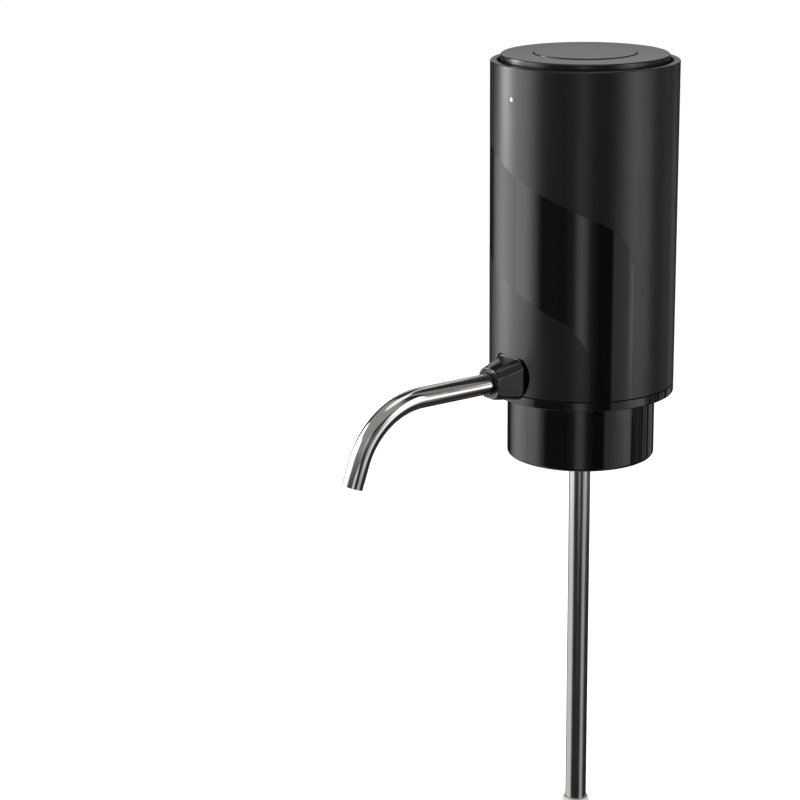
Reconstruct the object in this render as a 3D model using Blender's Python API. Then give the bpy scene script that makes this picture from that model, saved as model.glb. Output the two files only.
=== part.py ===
# Electric wine aerator: a rechargeable air pump in a round body that sits on a neck and pours through a bent spout.
# The origin is the centre of the plane that the neck's lip bears on. +Z is up and the spout points to -Y.

import math

import bmesh
import bpy
from mathutils import Matrix, Vector

mm = 0.001

# Clearances and counts that all pieces share
running_gap = 0.3 * mm
seat_gap = 0.2 * mm
overrun = 1.0 * mm
body_steps = 40
middle_steps = 16
small_steps = 12
tiny_steps = 8
corner_steps = 4
edge_steps = 2
merge_distance = 0.0001 * mm
sharp_angle = math.radians(32)

# Body
body_radius = 30.0 * mm
shell_height = 104.05 * mm
shell_wall = 2.1 * mm
shell_edge = 0.35 * mm
foot_ring_height = 2.85 * mm
foot_ring_edge = 0.4 * mm
spigot_height = 5.0 * mm
spigot_wall = 1.6 * mm

# Neck collar
lip_depth = 18.0 * mm
collar_radius = 24.0 * mm
collar_wall = 2.0 * mm
collar_flange = 2.0 * mm
collar_foot_edge = 1.0 * mm

# Neck stopper
shoulder_radius = 15.0 * mm
shoulder_thickness = 1.2 * mm
stopper_radius = 9.2 * mm
stopper_length = 19.0 * mm
stopper_taper = 0.8 * mm
stopper_taper_length = 2.6 * mm
rib_reach = 0.9 * mm
rib_width = 2.4 * mm
rib_pitch = 5.0 * mm
rib_count = 3

# Liquid manifold
stem_radius = 7.4 * mm
stem_wall = 1.4 * mm
stem_length = 21.0 * mm
socket_wall = 1.2 * mm
socket_length = 12.0 * mm
socket_drop = 3.4 * mm
liquid_bore = 2.0 * mm
riser_bore = 1.8 * mm
manifold_flange = 3.05 * mm
manifold_radius = 14.0 * mm
chamber_radius = 7.0 * mm
chamber_roof = 2.1 * mm
chamber_edge = 0.8 * mm
branch_wall = 1.4 * mm
branch_inset = 5.0 * mm
air_bore = 0.5 * mm
air_slot_roof = 0.8 * mm
barb_radius = 1.9 * mm
barb_bore = 0.9 * mm
barb_height_share = 0.4498
barb_tip = 0.4 * mm

# Branch O-ring
ring_radius = 0.42 * mm
ring_groove_depth = 0.9 * mm
ring_groove_width = 1.3 * mm
ring_setback = 1.5 * mm

# Suction tubes
upper_tube_radius = 3.5 * mm
upper_tube_wall = 0.8 * mm
upper_tube_length = 155.5 * mm
socket_play = 0.5 * mm
lower_tube_radius = 2.1 * mm
lower_tube_wall = 0.6 * mm
lower_tube_length = 128.0 * mm
stop_length = 10.0 * mm
gland_wall = 0.7 * mm
gland_grip = 6.5 * mm
gland_guide = 2.2 * mm
gland_gap = 0.25 * mm
foot_grip = 8.0 * mm
foot_wall = 1.0 * mm
foot_tip = 2.7 * mm
foot_slot_width = 1.2 * mm
foot_slot_height = 1.6 * mm

# Spout, its sleeve and its boss
spout_rise = 11.4 * mm
spout_radius = 3.3 * mm
spout_wall = 0.5 * mm
spout_overlap = 2.8 * mm
spout_run = 35.2 * mm
spout_bend_radius = 25.5 * mm
spout_bend_angle = math.radians(70)
spout_tail = 8.0 * mm
spout_bend_steps = 10
spout_sides = 16
sleeve_recess = 0.8 * mm
sleeve_length = 4.0 * mm
sleeve_wall = 0.6 * mm
boss_side = 12.2 * mm
boss_corner = 3.0 * mm
boss_depth = 11.0 * mm
boss_stand = 1.2 * mm
boss_reach = 8.5 * mm
boss_room = 1.2 * mm
boss_front_radius = 5.5 * mm
boss_front_edge = 0.3 * mm
boss_nose = 1.6 * mm
boss_loft_steps = 5
boss_opening_radius = 8.5 * mm
ear_reach = 4.2 * mm
ear_depth = 4.2 * mm
ear_thickness = 2.05 * mm

# Top cap and button
cap_gap = 1.2 * mm
cap_proud = 2.3 * mm
cap_edge = 0.4 * mm
cap_neck = 4.5 * mm
cap_skirt = 5.0 * mm
cap_skirt_wall = 1.5 * mm
cap_well = 3.6 * mm
cap_floor = 1.4 * mm
button_radius = 16.2 * mm
button_plate = 1.6 * mm
button_edge = 0.25 * mm
button_rim = 2.8 * mm
button_rim_wall = 1.2 * mm
button_travel = 0.5 * mm
button_stem_radius = 2.0 * mm
button_bead = 0.6 * mm
button_bead_height = 1.2 * mm

# Charge light, its lens and the charging socket, on one level under the rim
port_drop = 10.0 * mm
lens_radius = 0.75 * mm
lens_flange_radius = 1.7 * mm
lens_flange = 0.8 * mm
lens_recess = 0.05 * mm
light_width = 3.2 * mm
light_depth = 2.0 * mm
light_dome = 0.9 * mm
light_dome_edge = 0.3 * mm
usb_width = 8.94 * mm
usb_height = 3.26 * mm
usb_depth = 7.3 * mm
usb_corner = 1.4 * mm
usb_wall = 0.3 * mm
usb_back_wall = 1.2 * mm
usb_tongue_width = 6.7 * mm
usb_tongue_thickness = 0.7 * mm
usb_tongue_setback = 1.4 * mm

# Control board and touch switch
board_gap = 2.9 * mm
board_thickness = 1.6 * mm
board_screw_inset = 4.0 * mm
board_screw_count = 4
switch_side = 6.2 * mm
switch_height = 3.5 * mm
plunger_radius = 1.75 * mm
plunger_reach = 2.0 * mm
plunger_length = 2.5 * mm
chip_side = 5.0 * mm
chip_height = 1.1 * mm
coil_radius = 3.0 * mm
coil_height = 3.0 * mm
component_circle = 13.0 * mm

# Chassis
leg_radius = 3.0 * mm
leg_count = 3
leg_inset = 3.7 * mm
leg_pilot_room = 0.65 * mm
plate_thickness = 1.8 * mm
lower_plate_gap = 0.6 * mm
spine_x = 2.8 * mm
spine_thickness = 1.6 * mm
spine_inset = 5.0 * mm
post_height = 2.67 * mm
post_radius = 2.4 * mm
clip_height = 8.0 * mm
battery_clip_shares = (0.14, 0.78)
motor_clip_share = 0.55
clip_mouth_share = 0.4
lead_hole_radius = 1.6 * mm

# Battery cell
battery_radius = 9.2 * mm
battery_head_room = 4.15 * mm
battery_edge = 0.7 * mm
battery_groove = 0.4 * mm
battery_groove_drop = 3.0 * mm
battery_nub_radius = 2.6 * mm
battery_nub = 1.0 * mm
battery_tab_offset = 5.2 * mm

# Air pump
pump_radius = 13.5 * mm
head_height = 4.0 * mm
head_chamber_radius = 9.0 * mm
head_chamber_depth = 2.0 * mm
nipple_length_share = 0.4337
valve_plate_thickness = 1.2 * mm
outlet_hole = 1.5 * mm
inlet_hole = 0.6 * mm
diaphragm_thickness = 1.0 * mm
cup_circle = 6.2 * mm
cup_count = 3
cup_radius = 3.5 * mm
cup_top_radius = 2.0 * mm
cup_height = 4.0 * mm
cup_wall = 0.8 * mm
cup_stem_radius = 1.0 * mm
cup_bulb_radius = 1.7 * mm
cup_bulb_height = 1.3 * mm
crankcase_height = 17.0 * mm
crankcase_wall = 1.6 * mm
crankcase_vent = 1.0 * mm
pump_screw_circle = 11.0 * mm
pump_boss_radius = 1.9 * mm
pump_boss_height = 9.0 * mm
wobble_lift = 1.0 * mm
wobble_thickness = 1.6 * mm
wobble_radius = 8.6 * mm
wobble_hub_radius = 2.6 * mm
wobble_hub_height = 3.5 * mm
wobble_socket_radius = 1.35 * mm
wobble_socket_depth = 2.6 * mm
eccentric_radius = 5.5 * mm
eccentric_height = 5.2 * mm
eccentric_throw = 1.3 * mm
eccentric_edge = 0.5 * mm
pin_radius = 0.6 * mm
pin_grip = 2.2 * mm

# Motor
motor_radius = 12.1 * mm
motor_head_room = 12.55 * mm
motor_edge = 1.2 * mm
pilot_radius = 3.0 * mm
pilot_height = 1.4 * mm
end_cap_height = 2.8 * mm
end_cap_inset = 0.5 * mm
bearing_radius = 3.0 * mm
bearing_height = 2.0 * mm
shaft_radius = 1.0 * mm
shaft_stub = 1.0 * mm
shaft_grip = 2.1 * mm
terminal_offset = 7.0 * mm
terminal_width = 2.4 * mm
terminal_thickness = 0.6 * mm
terminal_height = 2.4 * mm

# Hose and leads
hose_wall = 1.2 * mm
lead_radius = 0.6 * mm
lead_sway = 0.4 * mm
lead_points = 7

# Screws
base_screw_radius = 1.1 * mm
base_screw_head_radius = 2.2 * mm
base_screw_head = 1.5 * mm
base_screw_length = 14.6 * mm
small_screw_radius = 0.8 * mm
small_screw_head_radius = 1.9 * mm
small_screw_head = 1.3 * mm
deck_screw_length = 4.8 * mm
board_screw_length = 5.0 * mm
pump_screw_length = 11.6 * mm
pump_screw_head_radius = 1.6 * mm
pump_screw_head = 1.2 * mm
screw_recess_share = 0.45
manifold_screw_circle = 11.0 * mm

# Heights that follow, from the lip's plane up
foot_z = -lip_depth
flange_low_z = shoulder_thickness + running_gap
flange_top_z = flange_low_z + collar_flange
ring_low_z = flange_top_z + running_gap
ring_top_z = ring_low_z + foot_ring_height
on_deck_z = ring_top_z + running_gap
shell_top_z = on_deck_z + shell_height
cap_top_z = shell_top_z + cap_proud
port_z = shell_top_z - port_drop
board_top_z = port_z - usb_height / 2 - seat_gap
board_low_z = board_top_z - board_thickness
upper_plate_top_z = board_low_z - running_gap - post_height
upper_plate_z = upper_plate_top_z - plate_thickness
lower_plate_z = on_deck_z + boss_side + boss_room
chassis_floor_z = lower_plate_z + plate_thickness
on_floor_z = chassis_floor_z + running_gap
head_top_z = on_floor_z + head_height
valve_plate_z = head_top_z + seat_gap
diaphragm_z = valve_plate_z + valve_plate_thickness + seat_gap
sheet_top_z = diaphragm_z + diaphragm_thickness
crankcase_z = sheet_top_z + seat_gap
crankcase_top_z = crankcase_z + crankcase_height
wobble_z = sheet_top_z + cup_height + wobble_lift
eccentric_top_z = crankcase_top_z - crankcase_wall - running_gap
eccentric_z = eccentric_top_z - eccentric_height
motor_z = crankcase_top_z + seat_gap
shaft_top_z = upper_plate_z - motor_head_room
end_cap_top_z = shaft_top_z - shaft_stub - bearing_height
end_cap_z = end_cap_top_z - end_cap_height
motor_top_z = end_cap_z - seat_gap
battery_top_z = upper_plate_z - battery_head_room - battery_nub

# Radii and places across the body that follow
pump_x = spine_x - spine_thickness / 2 - running_gap - pump_radius
battery_x = spine_x + spine_thickness / 2 + running_gap + battery_radius
shell_inner_radius = body_radius - shell_wall
cap_radius = shell_inner_radius - cap_gap
board_radius = shell_inner_radius - board_gap
board_screw_circle = board_radius - board_screw_inset
lower_plate_radius = shell_inner_radius - lower_plate_gap
spine_width = 2 * (board_radius - spine_inset)
collar_inner = collar_radius - collar_wall
leg_circle = collar_inner - leg_inset
boss_back = body_radius - boss_depth
boss_shoulder = body_radius + boss_stand
boss_front = body_radius + boss_reach
branch_reach = body_radius - branch_inset
spout_start = body_radius - spout_overlap
spout_bend_start = body_radius + spout_run
spigot_radius = shell_inner_radius - running_gap
stem_hole_radius = stem_radius + running_gap
boss_rise = on_deck_z + boss_side / 2 - spout_rise
port_y = math.sqrt(shell_inner_radius**2 - (usb_width / 2) ** 2) - running_gap
hose_bore = barb_radius + seat_gap
hose_radius = hose_bore + hose_wall
deck_hole_radius = small_screw_radius + seat_gap
base_hole_radius = base_screw_radius + running_gap


# Modelling helpers
def material(name, colour, roughness, metallic=0.0):
    made = bpy.data.materials.new(name)
    made.use_nodes = True
    shader = made.node_tree.nodes["Principled BSDF"]
    shader.inputs["Base Color"].default_value = (*colour, 1.0)
    shader.inputs["Roughness"].default_value = roughness
    shader.inputs["Metallic"].default_value = metallic
    made.diffuse_color = (*colour, 1.0)
    return made


def place(name, mesh, finish, at=(0, 0, 0), turn=(0, 0, 0), parent=None):
    if finish and not mesh.materials:
        mesh.materials.append(finish)
    made = bpy.data.objects.new(name, mesh)
    made.location = at
    made.rotation_euler = turn
    made.parent = parent
    bpy.context.scene.collection.objects.link(made)
    return made


def mesh_of(name, bm):
    bmesh.ops.remove_doubles(bm, verts=bm.verts, dist=merge_distance)
    bmesh.ops.recalc_face_normals(bm, faces=bm.faces)
    mesh = bpy.data.meshes.new(name)
    bm.to_mesh(mesh)
    bm.free()
    mesh.shade_smooth()
    mesh.set_sharp_from_angle(angle=sharp_angle)
    return mesh


# A profile of (radius, height) turned about +Z, once at each spot. It is closed unless it starts and ends on the axis,
# and there each flat end becomes one face.
def turned(profile, steps, spots=((0, 0),)):
    bm = bmesh.new()
    for x, y in spots:
        points = [bm.verts.new((x + radius, y, height)) for radius, height in profile]
        pairs = list(zip(points, points[1:]))
        if profile[0][0] > 0:
            pairs.append((points[-1], points[0]))
        edges = [bm.edges.new(pair) for pair in pairs]
        bmesh.ops.spin(
            bm, geom=points + edges, cent=(x, y, 0), axis=(0, 0, 1), angle=math.tau, steps=steps, use_merge=True
        )
    bmesh.ops.remove_doubles(bm, verts=bm.verts, dist=merge_distance)
    centres = [v for v in bm.verts if min(math.hypot(v.co.x - x, v.co.y - y) for x, y in spots) < merge_distance]
    bmesh.ops.dissolve_verts(bm, verts=centres)
    return mesh_of("turned", bm)


# An outline of (x, y) points raised from low to high
def raised(outline, low, high):
    bm = bmesh.new()
    face = bm.faces.new([bm.verts.new((x, y, low)) for x, y in outline])
    grown = bmesh.ops.extrude_face_region(bm, geom=[face])
    top = [item for item in grown["geom"] if isinstance(item, bmesh.types.BMVert)]
    bmesh.ops.translate(bm, verts=top, vec=(0, 0, high - low))
    return mesh_of("raised", bm)


# Rings of points skinned in order. A hollow tube's last ring joins its first, and a solid's ends are capped.
def skinned(rings, hollow):
    bm = bmesh.new()
    loops = [[bm.verts.new(point) for point in ring] for ring in rings]
    pairs = list(zip(loops, loops[1:]))
    if hollow:
        pairs.append((loops[-1], loops[0]))
    else:
        bm.faces.new(loops[0])
        bm.faces.new(loops[-1])
    for near, far in pairs:
        for k in range(len(near)):
            bm.faces.new((near[k - 1], near[k], far[k], far[k - 1]))
    return mesh_of("skinned", bm)


def boolean(target, operation, mesh, at=(0, 0, 0), turn=(0, 0, 0)):
    tool = place(f"{target.name}_{operation.lower()}", mesh, None, at, turn, target.parent)
    tool.hide_render = True
    tool.display_type = "WIRE"
    step = target.modifiers.new(operation.lower(), "BOOLEAN")
    step.operation = operation
    step.object = tool


def cut(target, mesh, at=(0, 0, 0), turn=(0, 0, 0)):
    boolean(target, "DIFFERENCE", mesh, at, turn)


def fuse(target, mesh, at=(0, 0, 0), turn=(0, 0, 0)):
    boolean(target, "UNION", mesh, at, turn)


def disc(radius, low, high, steps, spots=((0, 0),)):
    return turned([(0, low), (radius, low), (radius, high), (0, high)], steps, spots)


def ring(inner, outer, low, high, steps, spots=((0, 0),)):
    return turned([(inner, low), (outer, low), (outer, high), (inner, high)], steps, spots)


def box(low, high):
    outline = [(low[0], low[1]), (high[0], low[1]), (high[0], high[1]), (low[0], high[1])]
    return raised(outline, low[2], high[2])


def rounded(width, height, corner, lift=0.0):
    points = []
    for quarter, (side_x, side_y) in enumerate(((1, 1), (-1, 1), (-1, -1), (1, -1))):
        for k in range(corner_steps + 1):
            angle = math.pi / 2 * (quarter + k / corner_steps)
            x = side_x * (width / 2 - corner) + corner * math.cos(angle)
            y = side_y * (height / 2 - corner) + corner * math.sin(angle)
            points.append((x, y + lift))
    return points


# A quarter round from one profile point to the next, bulging to the corner between them
def quarter_round(start, corner, end):
    points = []
    for k in range(edge_steps + 1):
        angle = math.pi / 2 * k / edge_steps
        along, across = 1 - math.cos(angle), math.sin(angle)
        x = start[0] + (end[0] - corner[0]) * along + (corner[0] - start[0]) * across
        z = start[1] + (end[1] - corner[1]) * along + (corner[1] - start[1]) * across
        points.append((x, z))
    return points


def around(radius, count, first_degrees):
    angles = [math.radians(first_degrees) + math.tau * k / count for k in range(count)]
    return [(radius * math.cos(angle), radius * math.sin(angle)) for angle in angles]


def axis_empty(name, at):
    made = bpy.data.objects.new(name, None)
    made.location = at
    bpy.context.scene.collection.objects.link(made)
    return made


# A screw with its seat at height 0, its head above and its shank below
def screw_mesh(shank, head_radius, head, length):
    recess = head * screw_recess_share
    return turned(
        [
            (0, head - recess),
            (shank, head - recess),
            (shank, head),
            (head_radius, head),
            (head_radius, 0),
            (shank, 0),
            (shank, shank - length),
            (0, -length),
        ],
        tiny_steps,
    )


for old in list(bpy.data.objects):
    bpy.data.objects.remove(old, do_unlink=True)

satin_black = material("satin black ABS", (0.018, 0.018, 0.019), 0.42)
gloss_black = material("gloss black ABS", (0.008, 0.008, 0.009), 0.08)
cap_black = material("satin cap ABS", (0.03, 0.03, 0.032), 0.35)
button_black = material("satin button ABS", (0.035, 0.035, 0.037), 0.38)
boss_black = material("boss ABS", (0.012, 0.012, 0.013), 0.18)
polished_steel = material("polished stainless steel", (0.62, 0.61, 0.6), 0.08, 1.0)
tube_steel = material("drawn stainless tube", (0.6, 0.6, 0.6), 0.2, 1.0)
black_silicone = material("black silicone", (0.02, 0.02, 0.02), 0.6)
ring_rubber = material("nitrile rubber", (0.015, 0.015, 0.015), 0.7)
clear_lens = material("light pipe acrylic", (0.9, 0.95, 1.0), 0.1)
white_pom = material("natural POM", (0.8, 0.8, 0.77), 0.4)
chassis_abs = material("chassis ABS", (0.05, 0.05, 0.055), 0.55)
cell_wrap = material("cell wrap PVC", (0.05, 0.2, 0.45), 0.35)
motor_steel = material("galvanised motor can", (0.55, 0.55, 0.54), 0.3, 1.0)
end_cap_nylon = material("end cap nylon", (0.6, 0.58, 0.5), 0.5)
shaft_steel = material("ground shaft steel", (0.6, 0.6, 0.6), 0.2, 1.0)
pump_nylon = material("pump nylon", (0.03, 0.03, 0.03), 0.5)
pump_rubber = material("diaphragm EPDM", (0.04, 0.04, 0.04), 0.75)
board_green = material("board laminate", (0.02, 0.12, 0.05), 0.4)
tin_plate = material("tin plated shell", (0.7, 0.7, 0.7), 0.25, 1.0)
switch_black = material("switch nylon", (0.03, 0.03, 0.03), 0.5)
light_white = material("light package", (0.85, 0.85, 0.8), 0.4)
hose_clear = material("hose silicone", (0.7, 0.72, 0.72), 0.4)
lead_red = material("red lead PVC", (0.5, 0.02, 0.02), 0.4)
lead_black = material("black lead PVC", (0.02, 0.02, 0.02), 0.4)
zinc_screw = material("zinc plated screw", (0.6, 0.6, 0.62), 0.3, 1.0)

to_spout = (math.pi / 2, 0, 0)
to_rear = (-math.pi / 2, 0, 0)
spout_axis = (0, 0, spout_rise)
port_level = (0, 0, port_z)
leg_spots = around(leg_circle, leg_count, 90)

# Outer shell: open at both ends, with the boss's opening breaking into its lower edge
shell_profile = [
    (shell_inner_radius, on_deck_z),
    (body_radius - shell_edge, on_deck_z),
    (body_radius, on_deck_z + shell_edge),
    (body_radius, shell_top_z - shell_edge),
    (body_radius - shell_edge, shell_top_z),
    (shell_inner_radius, shell_top_z),
]
outer_shell = place("outer_shell", turned(shell_profile, body_steps), satin_black)
wall_low = shell_inner_radius - overrun * 3
wall_high = body_radius + overrun
boss_opening = disc(boss_opening_radius, wall_low, wall_high, middle_steps)
cut(outer_shell, boss_opening, (0, 0, spout_rise + boss_rise), to_spout)
cut(outer_shell, disc(lens_radius + running_gap, wall_low, wall_high, small_steps), port_level, to_spout)
usb_slot = rounded(usb_width + 2 * running_gap, usb_height + 2 * running_gap, usb_corner + running_gap)
cut(outer_shell, raised(usb_slot, wall_low, wall_high), port_level, to_rear)

# Base housing: foot ring, deck and the spigot inside the shell
base_profile = [
    (stem_hole_radius, ring_low_z),
    (body_radius - foot_ring_edge, ring_low_z),
    (body_radius, ring_low_z + foot_ring_edge),
    (body_radius, ring_top_z - foot_ring_edge),
    (body_radius - foot_ring_edge, ring_top_z),
    (spigot_radius, ring_top_z),
    (spigot_radius, ring_top_z + spigot_height),
    (spigot_radius - spigot_wall, ring_top_z + spigot_height),
    (spigot_radius - spigot_wall, ring_top_z),
    (stem_hole_radius, ring_top_z),
]
base_housing = place("base_housing", turned(base_profile, body_steps), gloss_black)
notch_half = boss_side / 2 + running_gap
notch = box(
    (-notch_half, -body_radius, ring_top_z), (notch_half, spigot_wall + overrun - spigot_radius, wall_high)
)
cut(base_housing, notch)
cut(base_housing, disc(base_hole_radius, foot_z, wall_high, tiny_steps, leg_spots))
ear_screw_x = boss_side / 2 + ear_reach / 2
ear_screw_y = -boss_back - ear_depth / 2
ear_spots = [(-ear_screw_x, ear_screw_y), (ear_screw_x, ear_screw_y)]
manifold_spots = around(manifold_screw_circle, 4, 45)[:2]
cut(base_housing, disc(deck_hole_radius, foot_z, wall_high, tiny_steps, ear_spots + manifold_spots))

# Neck collar: the skirt round the neck, with the flange that the base screws hold
collar_profile = [(collar_inner, foot_z)]
collar_profile += quarter_round(
    (collar_radius - collar_foot_edge, foot_z), (collar_radius, foot_z), (collar_radius, foot_z + collar_foot_edge)
)
collar_profile += [
    (collar_radius, flange_top_z),
    (stem_hole_radius, flange_top_z),
    (stem_hole_radius, flange_low_z),
    (collar_inner, flange_low_z),
]
neck_collar = place("neck_collar", turned(collar_profile, body_steps), gloss_black)
cut(neck_collar, disc(base_hole_radius, 0, wall_high, tiny_steps, leg_spots))

# Neck stopper: shoulder on the lip, ribbed plug below it
stopper_profile = [
    (stem_hole_radius, shoulder_thickness),
    (shoulder_radius, shoulder_thickness),
    (shoulder_radius, 0),
    (stopper_radius, 0),
]
for k in range(rib_count):
    rib_z = -rib_pitch * (k + 1)
    stopper_profile += [
        (stopper_radius, rib_z + rib_width / 2),
        (stopper_radius + rib_reach, rib_z),
        (stopper_radius, rib_z - rib_width / 2),
    ]
stopper_profile += [
    (stopper_radius, stopper_taper_length - stopper_length),
    (stopper_radius - stopper_taper, -stopper_length),
    (stem_hole_radius, -stopper_length),
]
place("neck_stopper", turned(stopper_profile, middle_steps), black_silicone)

# Liquid manifold: stem with the air slot round the tube's socket, chamber, and branch to the spout
manifold_top_z = on_deck_z + manifold_flange
roof_z = spout_rise + liquid_bore + chamber_roof
stem_inner = stem_radius - stem_wall
socket_bore = upper_tube_radius + running_gap
socket_outer = socket_bore + socket_wall
socket_top_z = spout_rise - socket_drop
slot_top_z = spout_rise - liquid_bore - air_slot_roof
manifold_profile = [
    (0, roof_z),
    (chamber_radius - chamber_edge, roof_z),
    (chamber_radius, roof_z - chamber_edge),
    (chamber_radius, manifold_top_z),
    (manifold_radius, manifold_top_z),
    (manifold_radius, on_deck_z),
    (stem_radius, on_deck_z),
    (stem_radius, -stem_length),
    (stem_inner, -stem_length),
    (stem_inner, slot_top_z),
    (socket_outer, slot_top_z),
    (socket_outer, socket_top_z - socket_length),
    (socket_bore, socket_top_z - socket_length),
    (socket_bore, socket_top_z),
    (riser_bore, socket_top_z),
    (riser_bore, spout_rise - riser_bore / 2),
    (0, spout_rise - riser_bore / 2),
]
liquid_manifold = place("liquid_manifold", turned(manifold_profile, middle_steps), white_pom)
branch_radius = liquid_bore + branch_wall
groove_reach = branch_reach - ring_setback
branch_profile = [
    (0, chamber_radius - overrun),
    (branch_radius, chamber_radius - overrun),
    (branch_radius, groove_reach - ring_groove_width),
    (branch_radius - ring_groove_depth, groove_reach - ring_groove_width),
    (branch_radius - ring_groove_depth, groove_reach),
    (branch_radius, groove_reach),
    (branch_radius, branch_reach),
    (0, branch_reach),
]
fuse(liquid_manifold, turned(branch_profile, middle_steps), spout_axis, to_spout)
barb_height = barb_height_share * (on_floor_z - manifold_top_z)
barb_profile = [
    (0, slot_top_z),
    (barb_radius, slot_top_z),
    (barb_radius, manifold_top_z + barb_height - barb_tip),
    (barb_radius - barb_tip, manifold_top_z + barb_height),
    (0, manifold_top_z + barb_height),
]
fuse(liquid_manifold, turned(barb_profile, small_steps), (pump_x, 0, 0))
branch_bore = disc(liquid_bore, seat_gap - liquid_bore, branch_reach + overrun, small_steps)
cut(liquid_manifold, branch_bore, spout_axis, to_spout)
air_level_z = slot_top_z - air_bore - seat_gap
cut(liquid_manifold, disc(barb_bore, air_level_z, wall_high, small_steps), (pump_x, 0, 0))
air_run = disc(air_bore, pump_x, -(stem_inner + socket_outer) / 2, small_steps)
cut(liquid_manifold, air_run, (0, 0, air_level_z), (0, math.pi / 2, 0))
cut(liquid_manifold, disc(deck_hole_radius, 0, wall_high, tiny_steps, manifold_spots))

# O-ring in the branch's groove
ring_centre = branch_radius - running_gap
ring_reach = groove_reach - ring_groove_width / 2
ring_profile = [
    (ring_centre + ring_radius * math.cos(angle), ring_reach + ring_radius * math.sin(angle))
    for angle in [math.tau * k / tiny_steps for k in range(tiny_steps)]
]
place("branch_o_ring", turned(ring_profile, middle_steps), ring_rubber, spout_axis, to_spout)

# Suction tubes, the gland on the upper one and the slotted foot on the lower one
upper_top_z = socket_top_z - socket_play
upper_low_z = upper_top_z - upper_tube_length
upper_bore = upper_tube_radius - upper_tube_wall
place("suction_tube_upper", ring(upper_bore, upper_tube_radius, upper_low_z, upper_top_z, middle_steps), tube_steel)
shelf_z = upper_low_z - seat_gap
guide_bore = lower_tube_radius + gland_gap
grip_bore = upper_tube_radius + seat_gap
gland_profile = [
    (guide_bore, shelf_z - gland_guide),
    (grip_bore + gland_wall, shelf_z - gland_guide),
    (grip_bore + gland_wall, upper_low_z + gland_grip),
    (grip_bore, upper_low_z + gland_grip),
    (grip_bore, shelf_z),
    (guide_bore, shelf_z),
]
place("tube_gland", turned(gland_profile, middle_steps), white_pom)
suction_slide = axis_empty("suction_slide", (0, 0, shelf_z + seat_gap))
stop_radius = upper_bore - seat_gap
lower_bore = lower_tube_radius - lower_tube_wall
lower_low = stop_length - lower_tube_length
lower_profile = [
    (lower_bore, lower_low),
    (lower_tube_radius, lower_low),
    (lower_tube_radius, 0),
    (stop_radius, 0),
    (stop_radius, stop_length),
    (lower_bore, stop_length),
]
place("suction_tube_lower", turned(lower_profile, middle_steps), tube_steel, parent=suction_slide)
foot_radius = guide_bore + foot_wall
foot_shelf = lower_low - seat_gap
foot_low = foot_shelf - foot_tip
foot_profile = [
    (lower_bore, foot_low),
    (foot_radius, foot_low),
    (foot_radius, lower_low + foot_grip),
    (guide_bore, lower_low + foot_grip),
    (guide_bore, foot_shelf),
    (lower_bore, foot_shelf),
]
tube_foot = place("tube_foot", turned(foot_profile, middle_steps), white_pom, parent=suction_slide)
slot_end = foot_radius + overrun
slot_side = foot_slot_width / 2
slot_high = foot_low + foot_slot_height
for reach_x, reach_y in ((slot_end, slot_side), (slot_side, slot_end)):
    cut(tube_foot, box((-reach_x, -reach_y, foot_low - overrun), (reach_x, reach_y, slot_high)))

# Spout boss: a rounded square behind that lofts to a round nose, stepped bore, and two screwed ears
square = rounded(boss_side, boss_side, boss_corner, boss_rise)
nose_start = boss_front - boss_nose


def boss_ring(reach, share, radius):
    points = []
    for x, y in square:
        angle = math.atan2(y - boss_rise, x)
        round_x, round_y = radius * math.cos(angle), radius * math.sin(angle)
        points.append((x + (round_x - x) * share, y + (round_y - y) * share, reach))
    return points


boss_rings = [boss_ring(boss_back, 0, boss_front_radius)]
for k in range(boss_loft_steps + 1):
    along = k / boss_loft_steps
    eased = along * along * (3 - 2 * along)
    boss_rings.append(boss_ring(boss_shoulder + (nose_start - boss_shoulder) * along, eased, boss_front_radius))
boss_rings.append(boss_ring(boss_front - boss_front_edge, 1, boss_front_radius))
boss_rings.append(boss_ring(boss_front, 1, boss_front_radius - boss_front_edge))
spout_boss = place("spout_boss", skinned(boss_rings, False), boss_black, spout_axis, to_spout)
ear_side = boss_side / 2 + ear_reach
ears = box((-ear_side, -boss_back - ear_depth, on_deck_z), (ear_side, -boss_back, on_deck_z + ear_thickness))
fuse(spout_boss, ears)
sleeve_bore = spout_radius + seat_gap
sleeve_radius = sleeve_bore + sleeve_wall
sleeve_front = boss_front - sleeve_recess
sleeve_back = sleeve_front - sleeve_length
bore_profile = [
    (0, boss_back - overrun),
    (branch_radius + running_gap, boss_back - overrun),
    (branch_radius + running_gap, branch_reach + running_gap),
    (liquid_bore, branch_reach + running_gap),
    (liquid_bore, spout_start - running_gap),
    (spout_radius + running_gap, spout_start - running_gap),
    (spout_radius + running_gap, sleeve_back - running_gap),
    (sleeve_radius + seat_gap, sleeve_back - running_gap),
    (sleeve_radius + seat_gap, boss_front + overrun),
    (0, boss_front + overrun),
]
cut(spout_boss, turned(bore_profile, middle_steps), spout_axis, to_spout)
cut(spout_boss, disc(deck_hole_radius, 0, on_deck_z + ear_thickness + overrun, tiny_steps, ear_spots))

# Sleeve that turns in the boss, and the spout tube that it grips
place(
    "spout_sleeve",
    ring(sleeve_bore, sleeve_radius, sleeve_back, sleeve_front, middle_steps),
    black_silicone,
    spout_axis,
    to_spout,
)
spout_path = [(spout_start, 0.0, 0.0)]
for k in range(spout_bend_steps + 1):
    angle = spout_bend_angle * k / spout_bend_steps
    reach = spout_bend_start + spout_bend_radius * math.sin(angle)
    spout_path.append((reach, -spout_bend_radius * (1 - math.cos(angle)), angle))
bend_reach, bend_fall, _ = spout_path[-1]
tail_reach = bend_reach + spout_tail * math.cos(spout_bend_angle)
tail_fall = bend_fall - spout_tail * math.sin(spout_bend_angle)
spout_path.append((tail_reach, tail_fall, spout_bend_angle))


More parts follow.
